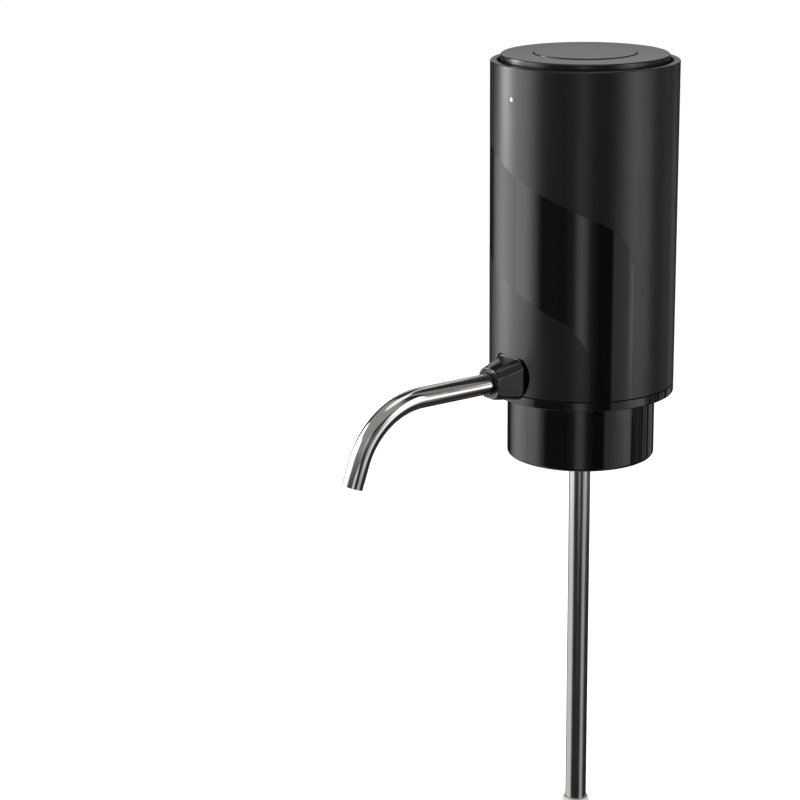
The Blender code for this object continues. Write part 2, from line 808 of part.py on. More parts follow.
def spout_ring(reach, fall, angle, radius):
    points = []
    for k in range(spout_sides):
        turn = math.tau * k / spout_sides
        rise = radius * math.cos(turn)
        points.append((radius * math.sin(turn), fall + rise * math.cos(angle), reach + rise * math.sin(angle)))
    return points


outside = [spout_ring(*station, spout_radius) for station in spout_path]
inside = [spout_ring(*station, spout_radius - spout_wall) for station in reversed(spout_path)]
place("spout_tube", skinned(outside + inside, True), polished_steel, spout_axis, to_spout)

# Top cap: proud disc with the button's well, and a skirt that seats in the shell
neck_low_z = cap_top_z - cap_neck
skirt_low_z = neck_low_z - cap_skirt
well_radius = button_radius + running_gap
well_z = cap_top_z - cap_well
floor_low_z = well_z - cap_floor
cap_profile = [
    (0, well_z),
    (well_radius, well_z),
    (well_radius, cap_top_z),
    (cap_radius - cap_edge, cap_top_z),
    (cap_radius, cap_top_z - cap_edge),
    (cap_radius, neck_low_z),
    (spigot_radius, neck_low_z),
    (spigot_radius, skirt_low_z),
    (spigot_radius - cap_skirt_wall, skirt_low_z),
    (spigot_radius - cap_skirt_wall, floor_low_z),
    (0, floor_low_z),
]
top_cap = place("top_cap", turned(cap_profile, body_steps), cap_black)
stem_hole = disc(button_stem_radius + running_gap, skirt_low_z, cap_top_z, small_steps)
cut(top_cap, stem_hole)

# Power button: plate flush with the cap, rim in the well, stem with a retaining bead down to the switch
switch_z = board_top_z + seat_gap
switch_top_z = switch_z + switch_height
plunger_top_z = switch_top_z + plunger_reach
bead_top_z = floor_low_z - running_gap
button_profile = [
    (0, cap_top_z),
    (button_radius - button_edge, cap_top_z),
    (button_radius, cap_top_z - button_edge),
    (button_radius, cap_top_z - button_rim),
    (button_radius - button_rim_wall, cap_top_z - button_rim),
    (button_radius - button_rim_wall, cap_top_z - button_plate),
    (0, cap_top_z - button_plate),
]
power_button = place("power_button", turned(button_profile, body_steps), button_black)
button_stem_profile = [
    (0, cap_top_z - button_plate / 2),
    (button_stem_radius, cap_top_z - button_plate / 2),
    (button_stem_radius, bead_top_z),
    (button_stem_radius + button_bead, bead_top_z),
    (button_stem_radius, bead_top_z - button_bead_height),
    (button_stem_radius, plunger_top_z + running_gap),
    (0, plunger_top_z + running_gap),
]
fuse(power_button, turned(button_stem_profile, small_steps))

# Touch switch and its plunger
switch_half = switch_side / 2
switch_box = box((-switch_half, -switch_half, switch_z), (switch_half, switch_half, switch_top_z))
touch_switch = place("touch_switch", switch_box, switch_black)
plunger_low_z = plunger_top_z - plunger_length
well_floor_z = plunger_low_z - button_travel - running_gap
cut(touch_switch, disc(plunger_radius + running_gap, well_floor_z, cap_top_z, small_steps))
place("switch_plunger", disc(plunger_radius, plunger_low_z, plunger_top_z, small_steps), switch_black)

# Control board with its larger components
control_board = place("control_board", disc(board_radius, board_low_z, board_top_z, middle_steps), board_green)
component_low = board_top_z - board_thickness / 2
chip_half = chip_side / 2
chip_high = board_top_z + chip_height
chip = box(
    (component_circle - chip_half, -chip_half, component_low), (component_circle + chip_half, chip_half, chip_high)
)
fuse(control_board, chip)
fuse(
    control_board,
    disc(coil_radius, component_low, board_top_z + coil_height, small_steps),
    (-component_circle, 0, 0),
)
post_spots = around(board_screw_circle, board_screw_count, 45)
cut(control_board, disc(small_screw_radius + running_gap, 0, cap_top_z, tiny_steps, post_spots))

# Charging socket at the rear: stamped shell with its tongue
usb_back = port_y - usb_depth
usb_outline = rounded(usb_width, usb_height, usb_corner)
usb_socket = place("usb_socket", raised(usb_outline, usb_back, port_y), tin_plate, port_level, to_rear)
usb_inside = rounded(usb_width - 2 * usb_wall, usb_height - 2 * usb_wall, usb_corner - usb_wall)
cut(usb_socket, raised(usb_inside, usb_back + usb_back_wall, port_y + overrun), port_level, to_rear)
tongue_x = usb_tongue_width / 2
tongue_y = usb_tongue_thickness / 2
tongue = box(
    (-tongue_x, -tongue_y, usb_back + usb_back_wall / 2), (tongue_x, tongue_y, port_y - usb_tongue_setback)
)
fuse(usb_socket, tongue, port_level, to_rear)

# Charge light on the board's front edge and its lens in the shell
lens_seat = math.sqrt(shell_inner_radius**2 - lens_flange_radius**2) - running_gap
lens_profile = [
    (0, lens_seat - lens_flange),
    (lens_flange_radius, lens_seat - lens_flange),
    (lens_flange_radius, lens_seat),
    (lens_radius, lens_seat),
    (lens_radius, body_radius - lens_recess),
    (0, body_radius - lens_recess),
]
place("status_lens", turned(lens_profile, small_steps), clear_lens, port_level, to_spout)
dome_front = lens_seat - lens_flange - running_gap
light_front = dome_front - light_dome
light_x = light_width / 2
light_y = usb_height / 2
light_block = box((-light_x, -light_y, light_front - light_depth), (light_x, light_y, light_front))
status_light = place("status_light", light_block, light_white, port_level, to_spout)
dome_profile = [
    (0, light_front - light_depth / 2),
    (light_dome, light_front - light_depth / 2),
    (light_dome, dome_front - light_dome_edge),
    (light_dome - light_dome_edge, dome_front),
    (0, dome_front),
]
fuse(status_light, turned(dome_profile, small_steps), port_level, to_spout)

# Chassis: lower plate on three legs, spine, battery and motor clips, upper plate with the board posts
chassis = place(
    "chassis", disc(lower_plate_radius, lower_plate_z, chassis_floor_z, body_steps), chassis_abs
)
fuse(chassis, disc(leg_radius, on_deck_z, chassis_floor_z - seat_gap, tiny_steps, leg_spots))
spine_side = spine_thickness / 2
spine = box(
    (spine_x - spine_side, -spine_width / 2, chassis_floor_z - seat_gap),
    (spine_x + spine_side, spine_width / 2, upper_plate_z + seat_gap),
)
fuse(chassis, spine)
fuse(chassis, disc(board_radius, upper_plate_z, upper_plate_top_z, middle_steps))
fuse(chassis, disc(post_radius, upper_plate_z + seat_gap, board_low_z - running_gap, tiny_steps, post_spots))
battery_clip_outer = battery_x - spine_x
motor_clip_outer = spine_x - pump_x
motor_length = motor_top_z - motor_z
battery_length = battery_top_z - on_floor_z
clips = [(motor_clip_share, motor_z, motor_length, motor_radius, motor_clip_outer, pump_x)]
for share in battery_clip_shares:
    clips.append((share, on_floor_z, battery_length, battery_radius, battery_clip_outer, battery_x))
for share, start_z, length, radius, outer, centre_x in clips:
    clip_z = start_z + share * length
    clip = ring(radius + seat_gap, outer, clip_z, clip_z + clip_height, middle_steps)
    fuse(chassis, clip, (centre_x, 0, 0))
mouth_low_z = chassis_floor_z + seat_gap
mouth_high_z = upper_plate_z - seat_gap
battery_mouth_x = battery_x + clip_mouth_share * battery_radius
motor_mouth_x = pump_x - clip_mouth_share * motor_radius
cut(chassis, box((battery_mouth_x, -body_radius, mouth_low_z), (body_radius, body_radius, mouth_high_z)))
cut(chassis, box((-body_radius, -body_radius, mouth_low_z), (motor_mouth_x, body_radius, mouth_high_z)))
cut(chassis, disc(hose_radius + running_gap, on_deck_z, mouth_low_z, small_steps), (pump_x, 0, 0))
leg_pilot_z = flange_low_z - seat_gap + base_screw_length + leg_pilot_room
cut(chassis, disc(base_screw_radius + seat_gap, 0, leg_pilot_z, tiny_steps, leg_spots))
cut(chassis, disc(deck_hole_radius, mouth_high_z, board_top_z, tiny_steps, post_spots))
lead_spots = [(pump_x, terminal_offset), (pump_x, -terminal_offset)]
lead_spots += [(battery_x, battery_tab_offset), (battery_x, -battery_tab_offset)]
cut(chassis, disc(lead_hole_radius, mouth_high_z, board_top_z, tiny_steps, lead_spots))

# Battery cell
groove_z = battery_top_z - battery_groove_drop
cell_profile = [
    (0, on_floor_z),
    (battery_radius - battery_edge, on_floor_z),
    (battery_radius, on_floor_z + battery_edge),
    (battery_radius, groove_z - battery_groove),
    (battery_radius - battery_groove, groove_z),
    (battery_radius, groove_z + battery_groove),
    (battery_radius, battery_top_z - battery_edge),
    (battery_radius - battery_edge, battery_top_z),
    (battery_nub_radius, battery_top_z),
    (battery_nub_radius, battery_top_z + battery_nub),
    (0, battery_top_z + battery_nub),
]
place("battery_cell", turned(cell_profile, middle_steps), cell_wrap, (battery_x, 0, 0))

# Pump head with the outlet nipple
pump_axis = axis_empty("pump_axis", (pump_x, 0, 0))
pump_screw_spots = around(pump_screw_circle, cup_count, 30)
cup_spots = around(cup_circle, cup_count, 90)
chamber_z = head_top_z - head_chamber_depth
nipple_length = nipple_length_share * (on_floor_z - manifold_top_z)
head_profile = [
    (barb_bore, on_floor_z - nipple_length),
    (barb_radius, on_floor_z - nipple_length),
    (barb_radius, on_floor_z),
    (pump_radius, on_floor_z),
    (pump_radius, head_top_z),
    (head_chamber_radius, head_top_z),
    (head_chamber_radius, chamber_z),
    (barb_bore, chamber_z),
]
pump_head = place("pump_head", turned(head_profile, middle_steps), pump_nylon, parent=pump_axis)
pump_screw_seat_z = on_floor_z + pump_screw_head + 2 * seat_gap
counterbore_radius = pump_screw_head_radius + seat_gap
cut(pump_head, disc(counterbore_radius, on_deck_z, pump_screw_seat_z, tiny_steps, pump_screw_spots))
cut(pump_head, disc(deck_hole_radius, on_deck_z, crankcase_z, tiny_steps, pump_screw_spots))

# Valve plate
plate_top_z = valve_plate_z + valve_plate_thickness
valve_plate = place(
    "valve_plate", ring(outlet_hole, pump_radius, valve_plate_z, plate_top_z, middle_steps), pump_nylon, parent=pump_axis
)
cut(valve_plate, disc(deck_hole_radius, on_deck_z, crankcase_z, tiny_steps, pump_screw_spots))
cut(valve_plate, disc(inlet_hole, on_deck_z, crankcase_z, tiny_steps, cup_spots))

# Diaphragm: sheet with three cups, each with a stem and a bulb through the wobble plate
wobble_top_z = wobble_z + wobble_thickness
bulb_z = wobble_top_z + running_gap
cup_top_z = sheet_top_z + cup_height
sheet_middle_z = diaphragm_z + diaphragm_thickness / 2
pump_diaphragm = place(
    "pump_diaphragm", disc(pump_radius, diaphragm_z, sheet_top_z, middle_steps), pump_rubber, parent=pump_axis
)
cup_profile = [
    (0, bulb_z + cup_bulb_height),
    (cup_stem_radius, bulb_z + cup_bulb_height),
    (cup_bulb_radius, bulb_z + cup_bulb_height / 2),
    (cup_stem_radius, bulb_z),
    (cup_stem_radius, cup_top_z),
    (cup_top_radius, cup_top_z),
    (cup_radius, sheet_top_z),
    (cup_radius, sheet_middle_z),
    (0, sheet_middle_z),
]
fuse(pump_diaphragm, turned(cup_profile, tiny_steps, cup_spots))
hollow_profile = [
    (0, cup_top_z - cup_wall),
    (cup_top_radius - cup_wall, cup_top_z - cup_wall),
    (cup_radius - cup_wall, sheet_top_z),
    (cup_radius - cup_wall, diaphragm_z - overrun),
    (0, diaphragm_z - overrun),
]
cut(pump_diaphragm, turned(hollow_profile, tiny_steps, cup_spots))
cut(pump_diaphragm, disc(deck_hole_radius, on_deck_z, crankcase_z, tiny_steps, pump_screw_spots))

# Wobble plate that pulls the cups in turn
hub_top_z = wobble_z + wobble_hub_height
wobble_profile = [
    (0, wobble_z),
    (wobble_radius, wobble_z),
    (wobble_radius, wobble_top_z),
    (wobble_hub_radius, wobble_top_z),
    (wobble_hub_radius, hub_top_z),
    (wobble_socket_radius, hub_top_z),
    (wobble_socket_radius, hub_top_z - wobble_socket_depth),
    (0, hub_top_z - wobble_socket_depth),
]
wobble_plate = place("wobble_plate", turned(wobble_profile, middle_steps), white_pom, parent=pump_axis)
cut(wobble_plate, disc(cup_stem_radius + running_gap, on_deck_z, motor_z, tiny_steps, cup_spots))

# Crankcase with its screw bosses and the air intake
case_inner = pump_radius - crankcase_wall
case_roof_z = crankcase_top_z - crankcase_wall
pilot_hole = pilot_radius + running_gap
case_profile = [
    (pilot_hole, crankcase_top_z),
    (pump_radius, crankcase_top_z),
    (pump_radius, crankcase_z),
    (case_inner, crankcase_z),
    (case_inner, case_roof_z),
    (pilot_hole, case_roof_z),
]
pump_crankcase = place("pump_crankcase", turned(case_profile, middle_steps), pump_nylon, parent=pump_axis)
case_boss_z = crankcase_z + pump_boss_height
case_bosses = disc(pump_boss_radius, crankcase_z, case_boss_z, tiny_steps, pump_screw_spots)
fuse(pump_crankcase, case_bosses)
boss_pilots = disc(deck_hole_radius, on_deck_z, case_boss_z - seat_gap, tiny_steps, pump_screw_spots)
cut(pump_crankcase, boss_pilots)
vent_level = (0, 0, (case_boss_z + case_roof_z) / 2)
cut(pump_crankcase, disc(crankcase_vent, case_inner - overrun, wall_high, small_steps), vent_level, (0, -math.pi / 2, 0))

# Drive: shaft, eccentric and the leaning pin, all on the motor's axis
shaft_low_z = eccentric_top_z - shaft_grip
place("motor_shaft", disc(shaft_radius, shaft_low_z, shaft_top_z, small_steps), shaft_steel, parent=pump_axis)
eccentric_profile = [
    (0, eccentric_z),
    (eccentric_radius - eccentric_edge, eccentric_z),
    (eccentric_radius, eccentric_z + eccentric_edge),
    (eccentric_radius, eccentric_top_z - eccentric_edge),
    (eccentric_radius - eccentric_edge, eccentric_top_z),
    (0, eccentric_top_z),
]
drive_eccentric = place(
    "drive_eccentric", turned(eccentric_profile, middle_steps), white_pom, parent=pump_axis
)
shaft_socket = disc(shaft_radius + seat_gap, shaft_low_z - seat_gap, motor_z, small_steps)
cut(drive_eccentric, shaft_socket)
pin_low_z = hub_top_z - wobble_socket_depth + running_gap
pin_rise = eccentric_z + pin_grip - pin_low_z
pin_lean = math.atan2(eccentric_throw, pin_rise)
pin_length = math.hypot(eccentric_throw, pin_rise)
pin_foot = (0, 0, pin_low_z)
pin_turn = (0, pin_lean, 0)
place("wobble_pin", disc(pin_radius, 0, pin_length, tiny_steps), shaft_steel, pin_foot, pin_turn, pump_axis)
cut(drive_eccentric, disc(pin_radius + seat_gap, 0, pin_length + seat_gap, tiny_steps), pin_foot, pin_turn)

# Motor can and the end cap with its bearing and terminals
shaft_bore = shaft_radius + running_gap
can_profile = [
    (shaft_bore, motor_z - pilot_height),
    (pilot_radius, motor_z - pilot_height),
    (pilot_radius, motor_z),
]
can_profile += quarter_round(
    (motor_radius - motor_edge, motor_z), (motor_radius, motor_z), (motor_radius, motor_z + motor_edge)
)
can_profile += [(motor_radius, motor_top_z), (shaft_bore, motor_top_z)]
place("motor_can", turned(can_profile, middle_steps), motor_steel, parent=pump_axis)
cap_outer = motor_radius - end_cap_inset
end_profile = [
    (shaft_bore, end_cap_z),
    (cap_outer, end_cap_z),
    (cap_outer, end_cap_top_z),
    (bearing_radius, end_cap_top_z),
    (bearing_radius, end_cap_top_z + bearing_height),
    (shaft_bore, end_cap_top_z + bearing_height),
]
motor_end_cap = place("motor_end_cap", turned(end_profile, middle_steps), end_cap_nylon, parent=pump_axis)
terminal_x = terminal_width / 2
terminal_high = end_cap_top_z + terminal_height
for side in (1, -1):
    middle_y = side * terminal_offset
    low_y = middle_y - terminal_thickness / 2
    terminal = box(
        (-terminal_x, low_y, end_cap_top_z - seat_gap), (terminal_x, low_y + terminal_thickness, terminal_high)
    )
    fuse(motor_end_cap, terminal)

# Air hose between the pump's nipple and the manifold's barb
hose = ring(hose_bore, hose_radius, manifold_top_z + running_gap, on_floor_z - running_gap, middle_steps)
place("air_hose", hose, hose_clear, parent=pump_axis)


# Leads up to the board, each a gentle S
def lead(name, finish, at, start_z):
    end_z = board_low_z - seat_gap
    curve = bpy.data.curves.new(name, "CURVE")
    curve.dimensions = "3D"
    curve.bevel_depth = lead_radius
    curve.bevel_resolution = 1
    curve.use_fill_caps = True
    run = curve.splines.new("POLY")
    run.points.add(lead_points - 1)
    for k, point in enumerate(run.points):
        along = k / (lead_points - 1)
        sway = lead_sway * math.sin(math.tau * along)
        point.co = (sway, 0, start_z + (end_z - start_z) * along, 1)
    curve.materials.append(finish)
    made = bpy.data.objects.new(name, curve)
    made.location = (*at, 0)
    bpy.context.scene.collection.objects.link(made)


lead("motor_lead_red", lead_red, lead_spots[0], terminal_high + seat_gap)
lead("motor_lead_black", lead_black, lead_spots[1], terminal_high + seat_gap)
lead("battery_lead_red", lead_red, lead_spots[2], battery_top_z + seat_gap)
lead("battery_lead_black", lead_black, lead_spots[3], battery_top_z + seat_gap)


# Screws: each kind is one mesh, and each screw an object of its own
def screws(name, mesh, spots, seat_z, turn=(0, 0, 0), parent=None):
    for k, (x, y) in enumerate(spots):
        place(f"{name}_{k + 1}", mesh, zinc_screw, (x, y, seat_z), turn, parent)


upside_down = (math.pi, 0, 0)
base_screw = screw_mesh(base_screw_radius, base_screw_head_radius, base_screw_head, base_screw_length)
screws("base_screw", base_screw, leg_spots, flange_low_z - seat_gap, upside_down)
deck_screw = screw_mesh(small_screw_radius, small_screw_head_radius, small_screw_head, deck_screw_length)
screws("boss_screw", deck_screw, ear_spots, on_deck_z + ear_thickness + seat_gap)
screws("manifold_screw", deck_screw, manifold_spots, manifold_top_z + seat_gap)
board_screw = screw_mesh(small_screw_radius, small_screw_head_radius, small_screw_head, board_screw_length)
screws("board_screw", board_screw, post_spots, board_top_z + seat_gap)
pump_screw = screw_mesh(small_screw_radius, pump_screw_head_radius, pump_screw_head, pump_screw_length)
screws("pump_screw", pump_screw, pump_screw_spots, pump_screw_seat_z - seat_gap, upside_down, pump_axis)
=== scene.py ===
import math

import bmesh
import bpy
import numpy as np
from mathutils import Matrix, Vector


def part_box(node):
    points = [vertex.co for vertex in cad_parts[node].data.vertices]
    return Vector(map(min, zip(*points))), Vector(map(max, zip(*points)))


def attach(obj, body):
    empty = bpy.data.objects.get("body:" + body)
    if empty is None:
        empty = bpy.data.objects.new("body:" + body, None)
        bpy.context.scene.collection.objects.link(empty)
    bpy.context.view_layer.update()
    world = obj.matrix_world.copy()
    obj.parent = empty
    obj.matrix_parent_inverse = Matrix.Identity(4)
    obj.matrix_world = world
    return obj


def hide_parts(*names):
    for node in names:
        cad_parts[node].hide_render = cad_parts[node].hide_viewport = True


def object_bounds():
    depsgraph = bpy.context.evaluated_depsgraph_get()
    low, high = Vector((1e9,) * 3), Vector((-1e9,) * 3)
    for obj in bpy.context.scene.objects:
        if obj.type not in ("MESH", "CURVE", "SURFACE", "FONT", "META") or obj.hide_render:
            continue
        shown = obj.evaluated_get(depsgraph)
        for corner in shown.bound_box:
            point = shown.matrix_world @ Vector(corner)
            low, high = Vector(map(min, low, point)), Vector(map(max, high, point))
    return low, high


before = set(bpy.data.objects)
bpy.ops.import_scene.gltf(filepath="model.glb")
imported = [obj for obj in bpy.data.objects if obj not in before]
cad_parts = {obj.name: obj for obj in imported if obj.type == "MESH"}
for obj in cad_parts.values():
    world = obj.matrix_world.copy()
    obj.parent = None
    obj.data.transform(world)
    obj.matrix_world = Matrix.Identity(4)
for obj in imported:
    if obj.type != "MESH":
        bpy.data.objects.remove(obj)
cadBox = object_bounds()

mm = 0.001
overrun = 1  # how far a cutter stands out past the face that it cuts, in millimetres
tiny = 1e-9  # a length or radius under this counts as nothing
print("frame loaded")


# small helpers for meshes; profiles and sizes are in millimetres

# turns a profile's corners into arcs; each point comes with the outward normals before and after it, and a
# profile that starts off the axis is closed
def filletedProfile(corners, arcSteps=5):
    count = len(corners)
    closed = corners[0][0] > 0
    points = []
    for k, corner in enumerate(corners):
        here = Vector(corner[:2])
        last = Vector(corners[k - 1][:2]) if closed or k > 0 else None
        onward = Vector(corners[(k + 1) % count][:2]) if closed or k < count - 1 else None
        comeIn = (here - last).normalized() if last is not None else None
        goOut = (onward - here).normalized() if onward is not None else None
        fillet = corner[2] if len(corner) > 2 else 0
        if not fillet or comeIn is None or goOut is None:
            points.append((here, sideOf(comeIn), sideOf(goOut)))
            continue
        turn = math.atan2(comeIn.x * goOut.y - comeIn.y * goOut.x, comeIn.dot(goOut))
        reach = fillet * math.tan(abs(turn) / 2)
        start = here - comeIn * reach
        side = 1 if turn > 0 else -1
        centre = start + Vector((-comeIn.y, comeIn.x)) * fillet * side
        for j in range(arcSteps + 1):
            angle = turn * j / arcSteps
            arm = Vector((comeIn.y, -comeIn.x)) * fillet * side
            arm.rotate(Matrix.Rotation(angle, 2))
            normal = arm.normalized() * side
            points.append((centre + arm, normal, normal))
    return points


# the outward side of a profile that runs with its solid on the left
def sideOf(direction):
    return Vector((direction.y, -direction.x)) if direction is not None else None


# a profile turned about +Z; runs are split so that no face is longer than rowHeight
def turnedMesh(name, profile, columns, rowHeight=None):
    closed = profile[0][0].x > tiny
    rings = []
    for k, (point, _, _) in enumerate(profile):
        rings.append(point)
        follower = profile[(k + 1) % len(profile)][0]
        if rowHeight and (closed or k < len(profile) - 1):
            pieces = max(1, math.ceil((follower - point).length / rowHeight))
            rings += [point.lerp(follower, j / pieces) for j in range(1, pieces)]
    vertices, rows = [], []
    for ring in rings:
        if ring.x < tiny:
            rows.append([len(vertices)] * columns)
            vertices.append((0, 0, ring.y * mm))
            continue
        rows.append(list(range(len(vertices), len(vertices) + columns)))
        for j in range(columns):
            angle = math.tau * (j + 0.5) / columns
            vertices.append((ring.x * mm * math.cos(angle), ring.x * mm * math.sin(angle), ring.y * mm))
    pairs = list(zip(rows, rows[1:]))
    if closed:
        pairs.append((rows[-1], rows[0]))
    faces = []
    for low, high in pairs:
        for j in range(columns):
            after = (j + 1) % columns
            corners = []
            for corner in (low[j], low[after], high[after], high[j]):
                if corner not in corners:
                    corners.append(corner)
            if len(corners) > 2:
                faces.append(corners)
    mesh = bpy.data.meshes.new(name)
    mesh.from_pydata(vertices, [], faces)
    return mesh


def shadeSmooth(mesh, sharpDegrees):
    mesh.shade_smooth()
    mesh.set_sharp_from_angle(angle=math.radians(sharpDegrees))


# how turned pieces are smoothed: the angle that stays sharp, and how near the profile, in millimetres, and how
# alike in facing a corner has to be to take the profile's normal
turning = {"sharpDegrees": 30, "near": 0.04, "alike": 0.9}


# exact normals for every corner that still lies on the turned profile, so cut edges leave no smear
def smoothTurned(mesh, profile):
    shadeSmooth(mesh, turning["sharpDegrees"])
    loops = len(mesh.loops)
    corner = np.zeros(loops * 3, np.float32)
    mesh.corner_normals.foreach_get("vector", corner)
    corner = corner.reshape(-1, 3).astype(float)
    where = np.zeros(loops, np.int32)
    mesh.loops.foreach_get("vertex_index", where)
    places = np.zeros(len(mesh.vertices) * 3, np.float32)
    mesh.vertices.foreach_get("co", places)
    places = places.reshape(-1, 3).astype(float)[where] / mm
    faceNormal = np.zeros(len(mesh.polygons) * 3, np.float32)
    mesh.polygons.foreach_get("normal", faceNormal)
    totals = np.zeros(len(mesh.polygons), np.int32)
    mesh.polygons.foreach_get("loop_total", totals)
    faceNormal = np.repeat(faceNormal.reshape(-1, 3).astype(float), totals, axis=0)
    x, y = places[:, 0], places[:, 1]
    radius = np.hypot(x, y)
    away = np.stack([x, y], 1) / np.maximum(radius, tiny)[:, None]
    faceAway = np.einsum("ij,ij->i", faceNormal[:, :2], away)
    best = np.full(loops, turning["near"])
    count = len(profile)
    for k in range(count if profile[0][0].x > tiny else count - 1):
        start, _, leaving = profile[k]
        end, arriving, _ = profile[(k + 1) % count]
        run = end - start
        if run.length < tiny:
            continue
        along = ((radius - start.x) * run.x + (places[:, 2] - start.y) * run.y) / run.length_squared
        along = np.clip(along, 0, 1)
        off = np.hypot(radius - start.x - run.x * along, places[:, 2] - start.y - run.y * along)
        flat = sideOf(run.normalized())
        facing = faceAway * flat.x + faceNormal[:, 2] * flat.y
        good = (off < best) & (facing > turning["alike"])
        best = np.where(good, off, best)
        outward = leaving.x * (1 - along) + arriving.x * along
        upward = leaving.y * (1 - along) + arriving.y * along
        exact = np.stack([away[:, 0] * outward, away[:, 1] * outward, upward], 1)
        exact /= np.maximum(np.linalg.norm(exact, axis=1), tiny)[:, None]
        corner[good] = exact[good]
    mesh.normals_split_custom_set([tuple(v) for v in corner])


# rings of points, in millimetres, skinned in order into a tube or a solid
def skinnedMesh(name, rings, joined=False):
    vertices = [tuple(c * mm for c in point) for ring in rings for point in ring]
    sides = len(rings[0])
    faces = []
    spans = len(rings) if joined else len(rings) - 1
    for k in range(spans):
        low, high = k * sides, (k + 1) % len(rings) * sides
        for j in range(sides):
            after = (j + 1) % sides
            faces.append((low + j, low + after, high + after, high + j))
    if not joined:
        faces.append(tuple(range(sides))[::-1])
        faces.append(tuple(len(vertices) - sides + j for j in range(sides)))
    mesh = bpy.data.meshes.new(name)
    mesh.from_pydata(vertices, [], faces)
    return mesh


# turns every face outwards
def straighten(mesh):
    work = bmesh.new()
    work.from_mesh(mesh)
    bmesh.ops.recalc_face_normals(work, faces=work.faces)
    work.to_mesh(mesh)
    work.free()


def addObject(name, data):
    made = bpy.data.objects.new(name, data)
    bpy.context.scene.collection.objects.link(made)
    return made


# a closed solid, used as it is or as a cutter
def solid(name, mesh, turn=None, at=(0, 0, 0)):
    straighten(mesh)
    if turn is not None:
        mesh.transform(turn)
    mesh.transform(Matrix.Translation(Vector(at) * mm))
    return addObject(name, mesh)


# cuts with solids, or joins them, and keeps only the result
def carve(piece, tools, operation="DIFFERENCE"):
    for tool in tools:
        step = piece.modifiers.new("carve", "BOOLEAN")
        step.operation = operation
        step.solver = "EXACT"
        step.object = tool
    bpy.context.view_layer.update()
    shaped = bpy.data.meshes.new_from_object(piece.evaluated_get(bpy.context.evaluated_depsgraph_get()))
    piece.modifiers.clear()
    piece.data = shaped
    for tool in tools:
        bpy.data.objects.remove(tool)


# a profile with sharp corners only
def sharpProfile(*points):
    return [(Vector(point), None, None) for point in points]


def cylinder(name, radius, low, high, columns, at=(0, 0, 0), turn=None):
    rod = sharpProfile((0, low), (radius, low), (radius, high), (0, high))
    return solid(name, turnedMesh(name, rod, columns), turn, at)


# cutters for a group of upright screw holes
def screwHoles(name, radius, spots, top, columns=24):
    return [cylinder(f"{name}{k}", radius, 0, top, columns, (x, y, 0)) for k, (x, y) in enumerate(spots)]


def block(name, low, high):
    x, y, z = zip(low, high)
    rings = [[(x[0], y[0], h), (x[1], y[0], h), (x[1], y[1], h), (x[0], y[1], h)] for h in z]
    return solid(name, skinnedMesh(name, rings))


# a rounded rectangle in its own plane, each quarter with the same number of points
def roundedOutline(width, height, corner, quarterSteps=12):
    points = []
    for quarter, (sideX, sideY) in enumerate(((1, 1), (-1, 1), (-1, -1), (1, -1))):
        for k in range(quarterSteps + 1):
            angle = math.pi / 2 * (quarter + k / quarterSteps)
            x = sideX * (width / 2 - corner) + corner * math.cos(angle)
            y = sideY * (height / 2 - corner) + corner * math.sin(angle)
            points.append((x, y))
    return points


# places spread evenly round the axis
def around(radius, count, firstDegrees):
    turns = [math.radians(firstDegrees) + math.tau * k / count for k in range(count)]
    return [(radius * math.cos(a), radius * math.sin(a)) for a in turns]


# a CAD node's lowest and highest point, in millimetres
def heightsOf(node):
    return tuple(corner[2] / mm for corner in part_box(node))


# hands a finished piece to the frame
def fit(piece, body, nodes, finish):
    piece.data.materials.clear()
    piece.data.materials.append(finish)
    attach(piece, body)
    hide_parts(*nodes)


# a piece turned from filleted corners, cut, smoothed and handed to the frame
def turnedPiece(name, node, body, slotName, finish, corners, columns, arcSteps=5, rowHeight=None, cuts=()):
    profile = filletedProfile(corners, arcSteps)
    piece = solid(name, turnedMesh(name, profile, columns, rowHeight))
    if cuts:
        carve(piece, cuts)
    smoothTurned(piece.data, profile)
    fit(piece, body, [node], finish)
    return piece


# small helpers for materials

# an sRGB hex colour as linear values, which the shader's sockets take
def linearOf(hexColour):
    channels = [int(hexColour[k:k + 2], 16) / 255 for k in (0, 2, 4)]
    return tuple(c / 12.92 if c <= 0.04045 else ((c + 0.055) / 1.055) ** 2.4 for c in channels) + (1.0,)


def addNode(tree, kind, settings=None, links=None):
    node = tree.nodes.new(kind)
    for name, value in (settings or {}).items():
        setattr(node, name, value)
    for name, value in (links or {}).items():
        if isinstance(value, bpy.types.NodeSocket):
            tree.links.new(value, node.inputs[name])
        else:
            node.inputs[name].default_value = value
    return node


def startFinish(name, look):
    finish = bpy.data.materials.new(name)
    finish.use_nodes = True
    tree = finish.node_tree
    shader = tree.nodes["Principled BSDF"]
    shader.inputs["Base Color"].default_value = linearOf(look["colour"])
    shader.inputs["Roughness"].default_value = look["roughness"]
    shader.inputs["Metallic"].default_value = look.get("metallic", 0.0)
    if "ior" in look:
        shader.inputs["IOR"].default_value = look["ior"]
    for socket, value in look.get("sockets", {}).items():
        shader.inputs[socket].default_value = value
    return finish, tree, shader


# how many pattern cells fit in one metre, from one cell in millimetres; real grain and drawing lines are
# finer, and are drawn here as coarse as they need to show
def perMetre(cell):
    return 1000.0 / cell


noiseSpan = {"From Min": 0.3, "From Max": 0.7}  # nearly all of a noise's values lie between these


